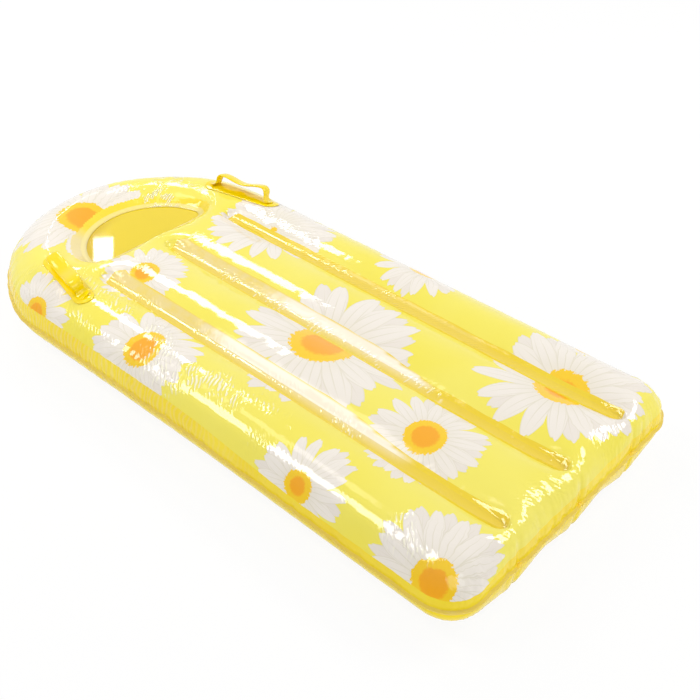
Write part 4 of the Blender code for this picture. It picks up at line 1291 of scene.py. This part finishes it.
# The plain golden vinyls, each mixed from two golds.
vinyls = {
    "goldenFilm": {"gold": (0.96, 0.77, 0.006), "deep": (0.94, 0.72, 0.003), "rough": 0.12, "gloss": 0.08,
                   "bumps": 0.15, "seam": True},
    "windowVinyl": {"gold": (0.79, 0.61, 0.004), "deep": (0.77, 0.585, 0.002), "rough": 0.03, "gloss": 0.42,
                    "bumps": 0.02, "shade": (0.60, 0.40, 0.002), "rim": (-0.030, -0.006, 0.75),
                    "left": (0.03, -0.06)},
    "handleVinyl": {"gold": (0.96, 0.74, 0.002), "deep": (0.93, 0.69, 0.001), "rough": 0.12, "gloss": 0.4,
                    "bumps": 0.12},
    "valveVinyl": {"gold": (0.94, 0.81, 0.16), "deep": (0.92, 0.78, 0.12), "rough": 0.15, "gloss": 0.4,
                   "bumps": 0.06},
    "webFilm": {"gold": (0.86, 0.70, 0.08), "deep": (0.84, 0.66, 0.06), "rough": 0.09, "gloss": 0.5,
                "bumps": 0.2, "clear": 0.2},
}


def goldenVinyl(name):
    tone = vinyls[name]
    material, tree, shader = newMaterial(name)
    place = addNode(tree, "TexCoord", output="Object")
    color = blendColor(noise(place, grains["vinyl"]), tone["gold"], tone["deep"])
    if "seam" in tone:
        color = blendColor(ramp(readAttribute(tree, "seamAway"), *tones["seam"]), color, colors["seam"])
    # Painted shade on the window film, along the rim of the head's left side over the well's wall.
    if "shade" in tone:  # deeper along the rim of the head's left side, over the well's wall
        x, y, _ = parts(place)
        ahead = y - windowY
        inner, outer, deep = tone["rim"]
        rim = ramp((ahead * ahead + x * x).calc("SQRT"), windowRadius + inner, windowRadius + outer, 0.0, deep)
        color = blendColor(rim * ramp(x, *tone["left"]), color, tone["shade"])
    feed(tree, shader, {"Base Color": color, "Roughness": tone["rough"], "IOR": shine["ior"],
                        "Transmission Weight": tone.get("clear", 0.0), "Specular IOR Level": tone["gloss"]})
    addBump(shader, noise(place, grains["bumps"], 3.0), tone["bumps"], shine["bumpHeight"])
    return material


def dress(things, material):
    for thing in things:
        thing.data.materials.clear()
        thing.data.materials.append(material)


nodes = frame["nodes"]
dress([topFilm], printedFilm())
dress([bottomFilm], goldenVinyl("goldenFilm"))
dress([windowFilm], goldenVinyl("windowVinyl"))
dress(handlePieces, goldenVinyl("handleVinyl"))
dress(valvePieces + [nodes["valve_flap"]], goldenVinyl("valveVinyl"))
dress([nodes["web_left"], nodes["web_center"], nodes["web_right"]], goldenVinyl("webFilm"))
print("materials done")


def seenDirectly(tree):
    # What the camera sees, also in a reflection or through clear film.
    path = tree.nodes.new("ShaderNodeLightPath")
    camera, glossy, clear = (
        Value(tree, path.outputs[key]) for key in ("Is Camera Ray", "Is Glossy Ray", "Is Transmission Ray"))
    return (camera + glossy).calc("ADD", clear, use_clamp=True)


# Floor, light and camera.
studio = {"floor": 14.0, "gap": 0.0005, "color": (0.93, 0.93, 0.93, 1.0), "rough": 0.9, "white": 0.92,
          "world": 0.32}
bpy.ops.object.select_all(action="DESELECT")
bpy.ops.mesh.primitive_plane_add(size=studio["floor"], location=(0, 0, -studio["gap"]))
floorPlane = bpy.context.active_object
floorPlane.name = "floor"
material, tree, shader = newMaterial("paleFloor")
feed(tree, shader, {"Base Color": studio["color"], "Roughness": studio["rough"]})
glow = addNode(tree, "Emission", {"Color": (1, 1, 1, 1)})
mixed = addNode(tree, "MixShader", (seenDirectly(tree) * studio["white"], Value(tree, shader.outputs[0]), glow))
feed(tree, tree.nodes["Material Output"], {"Surface": mixed})
floorPlane.data.materials.append(material)

world = bpy.data.worlds.new("studio")
bpy.context.scene.world = world
world.use_nodes = True
tree = world.node_tree
strength = seenDirectly(tree) * (1 - studio["world"]) + studio["world"]
feed(tree, tree.nodes["Background"], {"Color": (1, 1, 1, 1), "Strength": strength})

# Each lamp is a flat panel: its middle, where it faces, its sides, how bright it is, its colour.
lamps = {
    "overhead": {"place": (0.85, 2.30, 2.2), "size": (0.50, 1.45), "bright": 11.0, "color": (1.0, 0.985, 0.96)},
    "cream": {"place": (-0.10, 1.20, 2.2), "size": (0.30, 1.10), "bright": 2.0, "color": (1.0, 0.95, 0.86)},
    "leftBack": {"place": (-1.08, 1.25, 2.2), "size": (0.62, 1.60), "bright": 7.5, "color": (1.0, 0.985, 0.96)},
    "window": {"place": (1.71, 3.30, 2.2), "size": (0.105, 0.24), "bright": 18.0, "color": (1.0, 1.0, 0.99),
               "turn": -37},
    "rightFront": {"place": (1.85, -1.60, 2.2), "size": (0.80, 2.20), "bright": 8.5,
                   "color": (1.0, 0.98, 0.95)},
    "front": {"place": (-2.2, -2.8, 1.6), "aim": (0.0, 0.0, 0.0), "size": (2.6, 1.8), "bright": 2.1,
              "color": (1.0, 0.99, 0.97)},
}
for name, lamp in lamps.items():
    place = Vector(lamp["place"])
    aim = Vector(lamp.get("aim", (place.x, place.y, 0.0)))  # straight down, where nothing else is said
    light = bpy.data.lights.new(name, "AREA")
    light.shape = "RECTANGLE"
    light.size, light.size_y = wide, long = lamp["size"]
    light.energy = 4 * lamp["bright"] * wide * long
    light.color = lamp["color"]
    thing = bpy.data.objects.new(name, light)
    thing.location = place
    thing.rotation_euler = (aim - place).to_track_quat("-Z", "Y").to_euler()
    thing.rotation_euler.z += math.radians(lamp.get("turn", 0))
    bpy.context.scene.collection.objects.link(thing)

camera = bpy.data.cameras.new("camera")
camera.sensor_width = view["sensor"]
camera.lens = view["sensor"] * view["focus"] / view["pixels"]
camera.clip_start = 0.01
yaw, pitch = math.radians(view["yaw"]), math.radians(view["pitch"])
look = Vector((math.sin(yaw) * math.cos(pitch), math.cos(yaw) * math.cos(pitch), -math.sin(pitch)))
eye = bpy.data.objects.new("camera", camera)
eye.location = view["place"]
turn = look.to_track_quat("-Z", "Y") @ Quaternion((0, 0, 1), math.radians(view["roll"]))
eye.rotation_euler = turn.to_euler()
bpy.context.scene.collection.objects.link(eye)
bpy.context.scene.camera = eye
bpy.context.scene.view_settings.view_transform = "Standard"
print("floor, light and camera done")
